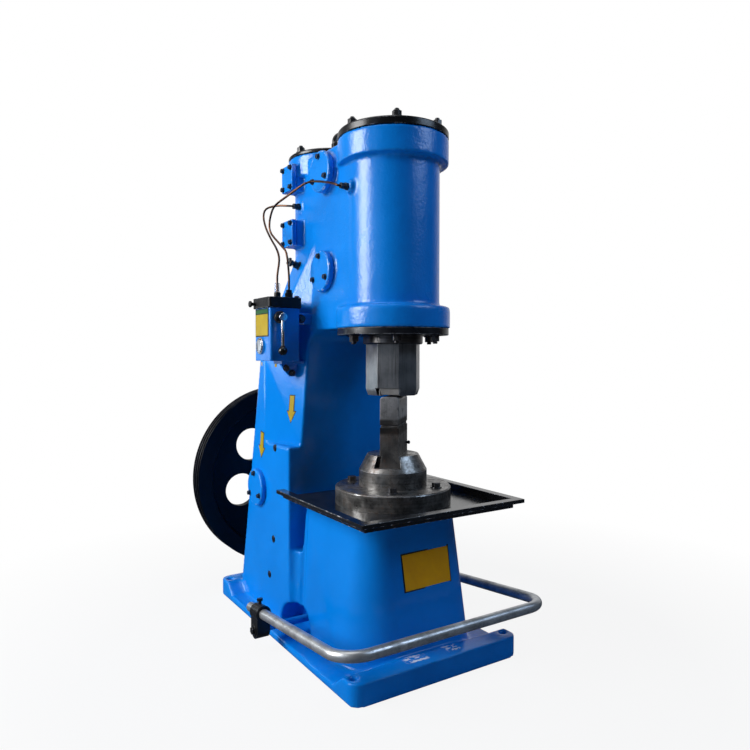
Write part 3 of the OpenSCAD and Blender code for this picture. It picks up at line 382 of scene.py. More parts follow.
# one skin over the nodes, rubbed smooth all over and again in its inner angles, apart
# from those at the column's ledge and the top flanges
def cast_skin(nodes, grain, rounds, fillet_rounds, foot, foot_rounds):
    bm = bmesh.new()
    for node in nodes:
        bm.from_mesh(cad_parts[node].data)
    throat_fillet(bm)
    bmesh.ops.remove_doubles(bm, verts=bm.verts, dist=2e-5)
    blank = bpy.data.meshes.new("blank")
    bm.to_mesh(blank)
    bm.free()
    holder = bpy.data.objects.new("blank", blank)
    scene.collection.objects.link(holder)
    skin = holder.modifiers.new("skin", "REMESH")
    skin.mode, skin.voxel_size = "VOXEL", grain
    bpy.context.view_layer.update()
    bm = bmesh.new()
    bm.from_object(holder, bpy.context.evaluated_depsgraph_get())
    bpy.data.objects.remove(holder)
    bpy.data.meshes.remove(blank)
    web_hollow(bm)
    rough = [v.co.copy() for v in bm.verts]
    rub(bm, bm.verts, rounds)
    bm.normal_update()
    # edge marks convex corners for wear; nook marks inner angles, which the enamel darkens as painted shade
    edge, nook = bm.verts.layers.float.new("edge"), bm.verts.layers.float.new("nook")
    inner = set()
    for v, start in zip(bm.verts, rough):
        moved = (start - v.co).dot(v.normal) / (0.4 * grain)
        v[edge], v[nook] = share(moved, 0.0, 1.0), share(-moved, 0.0, 1.0)
        if moved < -0.15:
            inner.add(v)
    for _ in range(3):
        inner |= {e.other_vert(v) for v in inner for e in v.link_edges}
    below, above = (foot, ledge_low), (ledge_high, flange_root)
    rub(bm, [v for v in inner if any(low < v.co.z < high for low, high in (below, above))], fillet_rounds)
    rub(bm, [v for v in inner if v.co.z <= foot], foot_rounds)
    for face in bm.faces:
        face.smooth = True
    return bm


def keep_half(bm, height, upper):
    whole = bm.verts[:] + bm.edges[:] + bm.faces[:]
    bmesh.ops.bisect_plane(bm, geom=whole, dist=1e-6, plane_co=(0.0, 0.0, height),
                           plane_no=(0.0, 0.0, 1.0), clear_inner=upper, clear_outer=not upper)
    cut = [e for e in bm.edges if len(e.link_faces) == 1]
    for e in cut:
        e.smooth = False
    for face in bmesh.ops.holes_fill(bm, edges=cut, sides=0)["faces"]:
        face.smooth = False


casting_seam = 0.53
upper_half = cast_skin(["base_plate", "anvil_pedestal", "column", "cylinder_block"],
                       grain=0.0036, rounds=2, fillet_rounds=3, foot=0.14, foot_rounds=12)
casting_tree = BVHTree.FromBMesh(upper_half)
lower_half = upper_half.copy()
keep_half(lower_half, casting_seam, False)
mesh_piece("lower_casting", lower_half, scuffed_enamel, "frame", "blue_paint",
           "base_plate", "anvil_pedestal", "column")

# Upper casting: the neck, the ram cylinder in front and the pump cylinder behind,
# with the flared valve walls between them, in the same casting and enamel.
keep_half(upper_half, casting_seam, True)
mesh_piece("upper_casting", upper_half, blue_enamel, "frame", "blue_paint", "cylinder_block")

# Cylinder caps: two turned plates in black paint on the ram and pump cylinders, each
# held by six studs with washers and nuts. Their rims are rubbed grey in places.


def cad_copy(*nodes):
    bm = bmesh.new()
    for node in nodes:
        bm.from_mesh(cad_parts[node].data)
    bmesh.ops.remove_doubles(bm, verts=bm.verts, dist=2e-5)
    bmesh.ops.dissolve_limit(bm, angle_limit=math.radians(0.6), verts=bm.verts, edges=bm.edges)
    bmesh.ops.recalc_face_normals(bm, faces=bm.faces)
    return bm


def node_box(node):
    spots = [v.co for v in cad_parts[node].data.vertices]
    low = Vector([min(spot[i] for spot in spots) for i in range(3)])
    high = Vector([max(spot[i] for spot in spots) for i in range(3)])
    return low, 0.5 * (low + high), high


def round_edges(bm, edges, width, segments=3):
    return bmesh.ops.bevel(bm, geom=edges, offset=width, offset_type="OFFSET", affect="EDGES",
                           segments=segments, profile=0.5, material=-1, clamp_overlap=True)["faces"]


# rounded edges whose faces carry the mark that the wear reads
def worn_edges(bm, edges, width, segments=3):
    mark = bm.faces.layers.float.get("edge") or bm.faces.layers.float.new("edge")
    for face in round_edges(bm, edges, width, segments):
        face[mark] = 1.0


def break_edges(bm, width, sharper=28, segments=3):
    sharp = [e for e in bm.edges if e.is_convex and e.calc_face_angle(0.0) > math.radians(sharper)]
    worn_edges(bm, sharp, width, segments)


def smooth_shade(bm, sharper=32):
    for face in bm.faces:
        face.smooth = True
    for e in bm.edges:
        e.smooth = e.calc_face_angle(0.0) < math.radians(sharper)


def skinned(name, nodes, material, body, slot, width, segments=3):
    bm = cad_copy(*nodes)
    break_edges(bm, width, segments=segments)
    smooth_shade(bm)
    return mesh_piece(name, bm, material, body, slot, *nodes)


# stack of short prisms on one axis, each as sides, radius, start, end and edge round
def turned(bm, place, axis, stack, spin=0.0):
    stand = Matrix.Translation(place) @ Vector(axis).to_track_quat("Z", "Y").to_matrix().to_4x4()
    stand = stand @ Matrix.Rotation(spin, 4, "Z")
    for sides, radius, low, high, edge in stack:
        middle = stand @ Matrix.Translation((0.0, 0.0, 0.5 * (low + high)))
        made = bmesh.ops.create_cone(bm, cap_ends=True, segments=sides, radius1=radius, radius2=radius,
                                     depth=high - low, matrix=middle)
        faces = {f for v in made["verts"] for f in v.link_faces}
        rims = {e for f in faces for e in f.edges if e.calc_face_angle(0.0) > math.radians(50)}
        round_edges(bm, list(rims), edge)


black_enamel = enamel("black_enamel", (0.0045, 0.0048, 0.0056), (0.010, 0.0105, 0.012), (0.17, 0.17, 0.18),
                      0.35, peel=0.6, gloss=(0.20, 0.34), wear=0.8, spec=0.4)
skinned("front_cap", ["front_cylinder_cap"], black_enamel, "frame", "black_paint", 0.0016)
skinned("rear_cap", ["rear_cylinder_cap"], black_enamel, "frame", "black_paint", 0.0014)

black_oxide = enamel("black_oxide", (0.010, 0.0105, 0.012), (0.022, 0.022, 0.024), (0.28, 0.28, 0.29),
                     0.25, peel=0.4, gloss=(0.26, 0.42), wear=0.9)
nut_and_stud = [(24, 0.0130, 0.0, 0.0025, 0.0006), (6, 0.0110, 0.0025, 0.0145, 0.0011),
                (16, 0.0055, 0.0145, 0.0200, 0.0022)]
bm = bmesh.new()
for cap, circle, first in (("front_cylinder_cap", 0.112, 0.0), ("rear_cylinder_cap", 0.100, 7.0)):
    _, middle, high = node_box(cap)
    for i in range(6):
        turn = math.radians(first + 60 * i)
        spot = (circle * math.cos(turn), middle.y + circle * math.sin(turn), high.z)
        turned(bm, spot, (0, 0, 1), nut_and_stud, 1.7 * turn)
smooth_shade(bm)
mesh_piece("cap_nuts", bm, black_oxide, "frame", "black_paint")

# Lifting eye: a forged ring on a collar, by which a crane lifts the hammer. It is screwed
# into the rear cap and painted black with it.
skinned("eye_bolt", ["lifting_eye"], black_enamel, "frame", "black_paint", 0.0012)

# Gland: a dark oily plate under the ram cylinder with a machined steel ring round the
# ram, six hex bolts with washers through the plate.


def bare_metal(name, dark, pale, rough, marks=None, streak=0.3, depth=0.00005, rust=0.0, soot=(),
               bright=0.5, shine=1.0):
    made, tree, bsdf = new_material(name)
    cloud = noise(tree, 22.0, 6.0, 0.62)
    colour = blend_colour(tree, spread(tree, cloud, 0.36, 0.64), dark, pale)
    gloss = spread(tree, cloud, 0.3, 0.7, *rough)
    if marks:
        line = use_group(tree, marks)
        tone = maths(tree, "MULTIPLY", line.outputs["Tone"], streak)
        colour = blend_colour(tree, tone, colour, tuple(0.35 * c for c in dark))
        bump(tree, bsdf, line.outputs["Height"], depth)
    rim = shader_node(tree, "ShaderNodeAttribute", {"attribute_name": "edge"})
    rubbed = spread(tree, noise(tree, 45.0, 5.0, 0.7), 0.40, 0.62, 0.0, bright)
    rubbed = maths(tree, "MULTIPLY", rim.outputs["Fac"], rubbed)
    colour = blend_colour(tree, rubbed, colour, (0.62, 0.63, 0.65))
    for mask_of, tone in soot:
        mask = mask_of(tree)
        colour = blend_colour(tree, mask, colour, tone)
        gloss = maths(tree, "ADD", gloss, maths(tree, "MULTIPLY", mask, 0.25))
    if rust:
        bloom = use_group(tree, rust_bloom, Amount=rust)
        colour = blend_colour(tree, bloom.outputs["Film"], colour, (0.060, 0.027, 0.012))
        colour = blend_colour(tree, bloom.outputs["Spot"], colour, (0.16, 0.060, 0.020))
        gloss = maths(tree, "ADD", gloss, maths(tree, "MULTIPLY", bloom.outputs["Film"], 0.35))
        wire(tree, maths(tree, "SUBTRACT", shine, bloom.outputs["Film"]), bsdf.inputs["Metallic"])
    else:
        bsdf.inputs["Metallic"].default_value = shine
    wire(tree, colour, bsdf.inputs["Base Color"])
    wire(tree, gloss, bsdf.inputs["Roughness"])
    return made


# brown rust on bare iron, a thin film with brighter spots in it
rust_bloom, given, result = new_group("rust_bloom", [("Amount", 0.5)], ["Film", "Spot"])
patch = spread(rust_bloom, noise(rust_bloom, 26.0, 8.0, 0.72), 0.45, 0.70)
film = maths(rust_bloom, "MULTIPLY", patch, given.outputs["Amount"])
wire(rust_bloom, film, result.inputs["Film"])
spot = spread(rust_bloom, noise(rust_bloom, 95.0, 5.0, 0.65), 0.56, 0.66)
wire(rust_bloom, maths(rust_bloom, "MULTIPLY", spot, film), result.inputs["Spot"])

# lathe rings about the ram axis, on flat faces and on round walls
lathe_rings, _, result = new_group("lathe_rings", [], ["Tone", "Height"])
place = shader_node(lathe_rings, "ShaderNodeTexCoord")
flat = shader_node(lathe_rings, "ShaderNodeVectorMath", {"operation": "MULTIPLY"})
flat.inputs[1].default_value = (1.0, 1.0, 0.0)
wire(lathe_rings, place.outputs["Object"], flat.inputs[0])
out = shader_node(lathe_rings, "ShaderNodeVectorMath", {"operation": "LENGTH"})
wire(lathe_rings, flat.outputs[0], out.inputs[0])
path = maths(lathe_rings, "ADD", out.outputs["Value"], along(lathe_rings, "Z"), False)
rings = shader_node(lathe_rings, "ShaderNodeTexNoise", {"noise_dimensions": "1D"},
                    {"Scale": 210.0, "Detail": 4.0, "Roughness": 0.6})
wire(lathe_rings, path, rings.inputs["W"])
wire(lathe_rings, spread(lathe_rings, rings.outputs["Fac"], 0.42, 0.66), result.inputs["Tone"])
wire(lathe_rings, rings.outputs["Fac"], result.inputs["Height"])

oily_black = bare_metal("oily_black", (0.006, 0.007, 0.011), (0.016, 0.018, 0.024), (0.24, 0.40),
                        lathe_rings, depth=0.00004, bright=0.4, shine=0.2)
skinned("gland_flange", ["gland_plate"], oily_black, "frame", "black_paint", 0.0018)
ring_steel = bare_metal("ring_steel", (0.12, 0.12, 0.125), (0.26, 0.26, 0.27), (0.26, 0.42),
                        lathe_rings, streak=0.4, depth=0.00006, rust=0.25)
skinned("gland_collar", ["gland_ring"], ring_steel, "frame", "worn_steel", 0.0012)
bolt_steel = bare_metal("bolt_steel", (0.06, 0.06, 0.065), (0.17, 0.17, 0.18), (0.28, 0.45),
                        rust=0.35, bright=0.8)
hex_bolt = [(24, 0.0135, 0.0, 0.0028, 0.0007), (6, 0.0108, 0.0028, 0.0150, 0.0011),
            (16, 0.0056, 0.0150, 0.0205, 0.0016)]
gland_circle, gland_low = 0.108, node_box("gland_plate")[0]
bm = bmesh.new()
for i in range(6):
    turn = math.radians(60 * i)
    spot = (gland_circle * math.cos(turn), gland_circle * math.sin(turn), gland_low.z)
    turned(bm, spot, (0, 0, -1), hex_bolt, 2.3 * turn)
smooth_shade(bm)
mesh_piece("gland_bolts", bm, bolt_steel, "frame", "worn_steel")

# Ram: a ground octagonal steel bar with upright machining lines and a film of oil,
# a bevelled foot and the dovetail slot that takes the upper die.
upright_lines, _, result = new_group("upright_lines", [], ["Tone", "Height"])
fine = noise(upright_lines, 420.0, 3.0, 0.6, (1.0, 1.0, 0.03))
broad = noise(upright_lines, 60.0, 3.0, 0.6, (1.0, 1.0, 0.10))
scored = maths(upright_lines, "MULTIPLY", spread(upright_lines, fine, 0.40, 0.65),
               spread(upright_lines, broad, 0.38, 0.62))
wire(upright_lines, scored, result.inputs["Tone"])
wire(upright_lines, fine, result.inputs["Height"])
ram_steel = bare_metal("ram_steel", (0.20, 0.21, 0.225), (0.31, 0.32, 0.335), (0.32, 0.44),
                       upright_lines, streak=0.75, depth=0.00008, rust=0.12, bright=0.1, shine=0.85)
skinned("ram_bar", ["ram"], ram_steel, "ram", "worn_steel", 0.0006)

# Upper die: a forged tool steel block on its dovetail, pale with scale above and black
# with soot where it meets the work, held by a taper key beside its tail.


def die_soot(tree):
    patchy = spread(tree, noise(tree, 30.0, 5.0), 0.10, 0.42)
    band = maths(tree, "MULTIPLY", within(tree, "Z", 0.526, 0.555, 0.007), patchy)
    return maths(tree, "MULTIPLY", band, 0.96)


def scale_patches(tree):
    return maths(tree, "MULTIPLY", spread(tree, noise(tree, 55.0, 7.0, 0.7), 0.50, 0.62), 0.7)


die_steel = bare_metal("die_steel", (0.20, 0.20, 0.205), (0.36, 0.36, 0.365), (0.36, 0.52),
                       upright_lines, streak=0.35, depth=0.00006, rust=0.22, bright=0.4, shine=0.6,
                       soot=[(scale_patches, (0.085, 0.085, 0.09)), (die_soot, (0.010, 0.010, 0.011))])
die_turn = Matrix.Rotation(math.radians(45), 3, "Z")
die_size, die_middle = Vector((0.120, 0.044, 0.0654)), Vector((0.0, -0.00275, 0.5771))
bm = bmesh.new()
made = bmesh.ops.create_cube(bm, size=1.0)
bmesh.ops.scale(bm, vec=die_size, verts=made["verts"])
bmesh.ops.translate(bm, vec=die_middle, verts=made["verts"])
top_edges = [e for e in bm.edges if all(v.co.z > die_middle.z for v in e.verts)]
shoulders = [e for e in top_edges if abs(e.verts[0].co.x - e.verts[1].co.x) > die_size.y]
round_edges(bm, shoulders, 0.008, 6)
break_edges(bm, 0.0016, 40)
bmesh.ops.rotate(bm, verts=bm.verts, cent=(0.0, 0.0, 0.0), matrix=die_turn)
smooth_shade(bm)
mesh_piece("upper_die_block", bm, die_steel, "ram", "worn_steel", "upper_die")

tail_steel = bare_metal("tail_steel", (0.22, 0.21, 0.20), (0.42, 0.41, 0.39), (0.34, 0.50),
                        rust=0.2, bright=0.4, shine=0.6)
tail_foot, tail_lift, tail_short = 0.6125, 0.002, 0.04
slot_way = die_turn @ Vector((1.0, 0.0, 0.0))
bm = cad_copy("upper_die")
keep_half(bm, tail_foot, True)
bmesh.ops.recalc_face_normals(bm, faces=bm.faces)
for v in bm.verts:
    v.co -= tail_short * slot_way.dot(v.co) * slot_way
    v.co.z += tail_lift if v.co.z < tail_foot + 0.0005 else 0.0
break_edges(bm, 0.0008)
smooth_shade(bm)
mesh_piece("upper_die_tail", bm, tail_steel, "ram", "worn_steel")
key_steel = bare_metal("key_steel", (0.03, 0.03, 0.032), (0.09, 0.088, 0.085), (0.35, 0.55), rust=0.45)
skinned("upper_key", ["upper_die_key"], key_steel, "ram", "worn_steel", 0.0010)

# Anvil block: a turned iron block of disc, boss and cone under the lower die, bare with
# lathe rings, oil and brown rust, bolted down through the tray by four hex bolts.
anvil_iron = bare_metal("anvil_iron", (0.17, 0.168, 0.165), (0.36, 0.355, 0.345), (0.22, 0.36),
                        lathe_rings, streak=0.55, depth=0.00014, rust=0.60, bright=0.8, shine=0.95,
                        soot=[(scale_patches, (0.06, 0.056, 0.053))])
skinned("anvil_turning", ["anvil_block"], anvil_iron, "frame", "worn_steel", 0.0022)
anvil_bolt = [(24, 0.0135, 0.0, 0.0022, 0.0006), (6, 0.0105, 0.0022, 0.0120, 0.0012)]
anvil_circle, disc_top = 0.108, 0.397
bm = bmesh.new()
for turn in (55, 125, 235, 305):
    turn = math.radians(turn)
    spot = (anvil_circle * math.cos(turn), anvil_circle * math.sin(turn), disc_top)
    turned(bm, spot, (0, 0, 1), anvil_bolt, turn)
smooth_shade(bm)
mesh_piece("anvil_bolts", bm, bolt_steel, "frame", "worn_steel")

# Lower die: the matching block on the anvil, darker and heat stained, with its own key,
# a crust of forge scale on its face and a small round stop pin on its right side.


def block(bm, low, high, edge):
    made = bmesh.ops.create_cube(bm, size=1.0)
    for v in made["verts"]:
        v.co = [low[i] + (v.co[i] + 0.5) * (high[i] - low[i]) for i in range(3)]
    worn_edges(bm, list({e for v in made["verts"] for e in v.link_edges}), edge)


low_die_steel = bare_metal("low_die_steel", (0.055, 0.054, 0.053), (0.13, 0.125, 0.12), (0.32, 0.52),
                           upright_lines, streak=0.35, depth=0.00006, rust=0.40, bright=0.4, shine=0.7,
                           soot=[(scale_patches, (0.03, 0.03, 0.032)), (die_soot, (0.008, 0.008, 0.009))])
skinned("lower_die_block", ["lower_die"], low_die_steel, "frame", "worn_steel", 0.0028, 4)
skinned("lower_key", ["lower_die_key"], key_steel, "frame", "worn_steel", 0.0010)
crust_black = bare_metal("crust_black", (0.006, 0.006, 0.007), (0.016, 0.015, 0.014), (0.6, 0.8),
                         rust=0.25, bright=0.2, shine=0.1)
crust_low, crust_high = (-0.0585, -0.0232, 0.5374), (0.0585, 0.0177, 0.5436)
bm = bmesh.new()
block(bm, crust_low, crust_high, 0.0016)
bmesh.ops.rotate(bm, verts=bm.verts, cent=(0.0, 0.0, 0.0), matrix=die_turn)
smooth_shade(bm)
mesh_piece("scale_crust", bm, crust_black, "frame", "worn_steel")
pin = [(16, 0.0026, 0.0, 0.003, 0.0004), (24, 0.0044, 0.003, 0.0110, 0.0036)]
bm = bmesh.new()
turned(bm, die_turn @ Vector((0.045, -0.0235, 0.493)), die_turn @ Vector((0.0, -1.0, 0.0)), pin)
smooth_shade(bm)
mesh_piece("stop_pin", bm, black_oxide, "frame", "worn_steel")

# Tray: a folded black sheet round the anvil with a raised edge bar on three sides, its
# paint glossy with oil and its edges rubbed bright.
tray_black = enamel("tray_black", (0.004, 0.0045, 0.0058), (0.010, 0.0105, 0.012), (0.55, 0.57, 0.60),
                    0.12, peel=0.5, gloss=(0.10, 0.20), wear=1.0, spec=0.6, depth=0.00016)
skinned("tray_plate", ["tray_floor"], tray_black, "frame", "black_paint", 0.0008)
skinned("tray_edge_bar", ["tray_rim"], tray_black, "frame", "black_paint", 0.0012)

# Side covers: round valve and crank covers and square port covers in the casting's blue,
# each on its seat with dark hex screws, the same on both sides.
rows, sides = ("upper", "lower"), ("left", "right")
valve_covers = [f"{row}_valve_cover_{side}" for row in rows for side in sides]
port_covers = [f"{row}_port_cover_{side}" for row in rows for side in sides]
crank_covers = [f"crank_cover_{side}" for side in sides]
cover_blue = enamel("cover_blue", blue_deep, blue_pale, (0.55, 0.70, 0.85), 0.15,
                    gloss=(0.14, 0.22), wear=0.9, sandy=0.06)
skinned("side_covers", valve_covers + port_covers + crank_covers, cover_blue, "frame", "blue_paint", 0.0018)
screw_navy = enamel("screw_navy", (0.004, 0.007, 0.016), (0.008, 0.014, 0.030), (0.20, 0.22, 0.26),
                    0.1, peel=0.3, gloss=(0.24, 0.38), wear=0.8)
screw = [(20, 0.0076, 0.0, 0.0012, 0.0004), (6, 0.0062, 0.0012, 0.0068, 0.0009)]
valve_circle, crank_circle, port_y, port_z = 0.036, 0.038, 0.0225, 0.025


def cover_face(cover):
    low, middle, high = node_box(cover)
    side = math.copysign(1.0, middle.x)
    return side, Vector((side * max(high.x, -low.x), middle.y, middle.z))


bm = bmesh.new()
for cover in valve_covers + crank_covers:
    side, face = cover_face(cover)
    circle = crank_circle if cover in crank_covers else valve_circle
    for turn in (88, 208, 328):
        turn = math.radians(turn)
        off = Vector((0.0, circle * math.cos(turn), circle * math.sin(turn)))
        turned(bm, face + off, (side, 0, 0), screw, 3.1 * turn)
for cover in port_covers:
    side, face = cover_face(cover)
    for dy in (-port_y, port_y):
        for dz in (-port_z, port_z):
            turned(bm, face + Vector((0.0, dy, dz)), (side, 0, 0), screw, 40 * dy + 90 * dz)
smooth_shade(bm)
mesh_piece("cover_screws", bm, screw_navy, "frame", "black_paint")

# Plugs: dark socket screws in the column's sides, each sunk in a small round spot face,
# the same on both sides.
plug = [(24, 0.0095, -0.004, 0.0012, 0.0010), (6, 0.0060, 0.0, 0.0022, 0.0006)]
plug_x, plug_spots = 0.1825, ((0.277, 0.4645), (0.289, 0.223), (0.316, 0.122))
bm = bmesh.new()
for side in (-1, 1):
    for y, z in plug_spots:
        turned(bm, (side * plug_x, y, z), (side, 0, 0), plug, 9.0 * y)
smooth_shade(bm)
mesh_piece("column_plugs", bm, screw_navy, "frame", "black_paint")

# Drain cock: a small black tap with a cross handle, screwed into the flared wall over the
# oil pump.
tap, tap_way = Vector((-0.1150, 0.270, 0.940)), Vector((-0.96, 0.0, 0.28))
tap_body = [(24, 0.0115, 0.0, 0.0070, 0.0008), (6, 0.0095, 0.0070, 0.0190, 0.0010),
            (16, 0.0050, 0.0190, 0.0320, 0.0008)]
handle = tap + 0.0265 * tap_way
bm = bmesh.new()
turned(bm, tap - 0.004 * tap_way, tap_way, tap_body)
turned(bm, handle - Vector((0, 0.015, 0)), (0, 1, 0), [(16, 0.0048, 0.0, 0.030, 0.0016)])
turned(bm, handle - Vector((0, 0, 0.010)), (0, 0, 1), [(16, 0.0044, 0.0, 0.022, 0.0014)])
smooth_shade(bm)
mesh_piece("drain_cock", bm, black_oxide, "frame", "black_paint")

# Oil pump: a blue box on a small bracket at the neck's left side, with a rough black lid,
# a round sight glass and an ear that bolts it to the head.
# painted shade: the box, bracket and ear take a darker copy of the casting's blue, for the shade they stand
# in
pump_shaded_blue = enamel("pump_shaded_blue", (0.0032, 0.175, 0.62), (0.0045, 0.215, 0.72), blue_chip, 0.15,
                   gloss=(0.18, 0.30), wear=0.8)
skinned("pump_box", ["lubricator_box"], pump_shaded_blue, "frame", "blue_paint", 0.0014)
skinned("pump_bracket", ["lubricator_bracket"], pump_shaded_blue, "frame", "blue_paint", 0.0010)
lid_black = enamel("lid_black", (0.005, 0.0052, 0.006), (0.016, 0.016, 0.017), (0.50, 0.50, 0.52),
                   0.4, gloss=(0.36, 0.52), wear=1.0, spec=0.25, depth=0.0005)
lid_face = 0.848
filler_plug = [(6, 0.0100, 0.0, 0.012, 0.0010), (6, 0.0078, 0.012, 0.019, 0.0008)]
lid_knob = [(16, 0.0042, -0.002, 0.009, 0.0005), (20, 0.0080, 0.009, 0.014, 0.0012)]
lid_screw = [(20, 0.0060, 0.0, 0.0045, 0.0010)]
bm = cad_copy("lubricator_lid")
break_edges(bm, 0.0016)
turned(bm, (-0.182, 0.190, lid_face), (0, 0, 1), filler_plug, 0.3)
turned(bm, (-0.243, 0.262, 0.834), (-1, 0, 0), lid_knob)
for y in (0.181, 0.264):
    turned(bm, (-0.165, y, lid_face), (0, 0, 1), lid_screw)
smooth_shade(bm)
mesh_piece("pump_lid", bm, lid_black, "frame", "black_paint", "lubricator_lid")

lever_x, lever_y, lever_z = -0.215, 0.155, 0.798
ear_low, ear_high = (-0.1620, 0.190, 0.783), (-0.1120, 0.222, 0.811)
bm = bmesh.new()
block(bm, ear_low, ear_high, 0.004)
smooth_shade(bm)
mesh_piece("pump_ear", bm, pump_shaded_blue, "frame", "blue_paint")
ear_bolt = [(24, 0.0110, 0.0, 0.0020, 0.0005), (6, 0.0085, 0.0020, 0.0100, 0.0009)]
bracket_bolt = [(20, 0.0085, 0.0, 0.0016, 0.0004), (6, 0.0072, 0.0016, 0.0085, 0.0009),
                (16, 0.0038, 0.0085, 0.0125, 0.0010)]
shaft_seal = [(32, 0.0150, 0.0, 0.0104, 0.0018)]
bm = bmesh.new()
turned(bm, (-0.149, ear_low[1], 0.797), (0, -1, 0), ear_bolt, 0.4)
for x, z in ((-0.1740, 0.673), (-0.1570, 0.661)):
    turned(bm, (x, 0.2265, z), (0, -1, 0), bracket_bolt, 40 * x)
turned(bm, (lever_x, 0.175, lever_z), (0, -1, 0), shaft_seal)
smooth_shade(bm)
mesh_piece("pump_bolts", bm, black_oxide, "frame", "black_paint")

_, glass, _ = node_box("sight_glass")
glass_seat = (-0.2385, glass.y, glass.z)
bezel_steel = bare_metal("bezel_steel", (0.45, 0.46, 0.48), (0.66, 0.67, 0.69), (0.16, 0.28), bright=0.9)
bm = bmesh.new()
turned(bm, glass_seat, (-1, 0, 0), [(48, 0.0205, 0.0, 0.0060, 0.0016), (48, 0.0172, 0.0, 0.0080, 0.0010)])
smooth_shade(bm)
mesh_piece("glass_bezel", bm, bezel_steel, "frame", "worn_steel")
# painted reflection: the window's pale streaked colour stands in for light reflected on the glass
window_glass, tree, bsdf = new_material("window_glass")
reflection_streaks = spread(tree, noise(tree, 90.0, 3.0, 0.5, (1.0, 1.0, 0.15)), 0.42, 0.58)
wire(tree, blend_colour(tree, reflection_streaks, (0.10, 0.12, 0.15), (0.62, 0.66, 0.70)), bsdf.inputs["Base Color"])
bsdf.inputs["Roughness"].default_value = 0.06
bsdf.inputs["Coat Weight"].default_value = 1.0
bm = bmesh.new()
turned(bm, glass_seat, (-1, 0, 0), [(48, 0.0138, 0.0, 0.0088, 0.0012)])
smooth_shade(bm)
mesh_piece("glass_window", bm, window_glass, "frame", "clear_glass", "sight_glass")

# Pump lever: a chromed rod and hub on the pump's shaft, turned by hand, with a black ball
# on its end.
chrome = bare_metal("chrome", (0.62, 0.63, 0.65), (0.78, 0.79, 0.80), (0.08, 0.18), bright=0.9)
bm = bmesh.new()
turned(bm, (lever_x, 0.1850, lever_z), (0, -1, 0), [(28, 0.0060, 0.0, 0.034, 0.0008)])
turned(bm, (lever_x, 0.1612, lever_z), (0, -1, 0), [(36, 0.0100, 0.0, 0.0125, 0.0014)])
turned(bm, (lever_x, lever_y, 0.792), (0, 0, -1), [(24, 0.0040, 0.0, 0.070, 0.0006)])
smooth_shade(bm)
mesh_piece("lever_rod", bm, chrome, "oil_lever", "worn_steel", "lubricator_lever")
ball_black = enamel("ball_black", (0.004, 0.004, 0.005), (0.007, 0.007, 0.008), (0.05, 0.05, 0.05),
                    0.0, peel=0.1, gloss=(0.05, 0.10), wear=0.0, spec=0.6)
bm = bmesh.new()
bmesh.ops.create_uvsphere(bm, u_segments=40, v_segments=24, radius=0.011,
                          matrix=Matrix.Translation((lever_x, lever_y, 0.716)))
turned(bm, (lever_x, lever_y, 0.7285), (0, 0, -1), [(24, 0.0062, 0.0, 0.006, 0.0008)])
smooth_shade(bm)
mesh_piece("lever_ball", bm, ball_black, "oil_lever", "black_paint")

# Oil lines: two bent copper tubes, dark with tarnish, from the pump's lid to black hex
# fittings on the cylinders; the rear one leaves the lid in a clear sleeve.
copper_tarnish = bare_metal("copper_tarnish", (0.06, 0.030, 0.020), (0.17, 0.085, 0.052), (0.24, 0.40))
tube_thinner = 0.0009
bm = cad_copy("front_oil_line", "rear_oil_line")
bm.normal_update()
for v in bm.verts:
    v.co -= tube_thinner * v.normal
smooth_shade(bm, 60)
mesh_piece("oil_tubes", bm, copper_tarnish, "frame", "copper", "front_oil_line", "rear_oil_line")
fitting = [(6, 0.0092, 0.0, 0.0075, 0.0009), (24, 0.0068, 0.0075, 0.0115, 0.0006),
           (6, 0.0076, 0.0115, 0.0190, 0.0009)]
bm = bmesh.new()
for node, spin in (("front_oil_fitting", 0.2), ("rear_oil_fitting", 0.5)):
    _, middle, high = node_box(node)
    turned(bm, (high.x + 0.0005, middle.y, middle.z), (-1, 0, 0), fitting, spin)
smooth_shade(bm)
mesh_piece("line_fittings", bm, black_oxide, "frame", "black_paint", "front_oil_fitting", "rear_oil_fitting")
clear_sleeve, tree, bsdf = new_material("clear_sleeve")
bsdf.inputs["Base Color"].default_value = (0.92, 0.95, 0.97, 1.0)
bsdf.inputs["Transmission Weight"].default_value = 0.85
wire(tree, spread(tree, noise(tree, 120.0, 3.0), 0.3, 0.7, 0.08, 0.25), bsdf.inputs["Roughness"])
bm = bmesh.new()
turned(bm, (-0.212, 0.192, 0.8605), (0, 0, 1), [(28, 0.0068, 0.0, 0.022, 0.0010)])
smooth_shade(bm)
mesh_piece("line_sleeve", bm, clear_sleeve, "frame", "clear_glass")

# Drive: the blue bearing housing on the column's back, held by six screws, the steel
# crankshaft in it and the grooved flywheel, cast iron in flat black.
skinned("drive_housing", ["bearing_housing"], blue_enamel, "frame", "blue_paint", 0.0022)
housing_circle = 0.064
_, housing, housing_high = node_box("bearing_housing")
bm = bmesh.new()
for i in range(6):
    turn = math.radians(30 + 60 * i)
    spot = (housing_circle * math.cos(turn), housing_high.y, housing.z + housing_circle * math.sin(turn))
    turned(bm, spot, (0, 1, 0), screw, turn)
smooth_shade(bm)
mesh_piece("housing_screws", bm, black_oxide, "frame", "black_paint")
shaft_steel = bare_metal("shaft_steel", (0.16, 0.16, 0.165), (0.30, 0.30, 0.31), (0.24, 0.40), rust=0.3)
skinned("crank_shaft", ["crankshaft"], shaft_steel, "flywheel", "worn_steel", 0.0016)
wheel_black = enamel("wheel_black", (0.0010, 0.0016, 0.0050), (0.0022, 0.0030, 0.0075), (0.05, 0.055, 0.065),
                     0.10, peel=0.8, gloss=(0.30, 0.50), wear=0.7, spec=0.25)
skinned("belt_wheel", ["flywheel"], wheel_black, "flywheel", "black_paint", 0.0020)

# Treadle: a bent steel pipe round the base with mill scale on it, clamped by black cast
# clamps to a blue cross shaft in the pedestal, capped with black washers and screws.


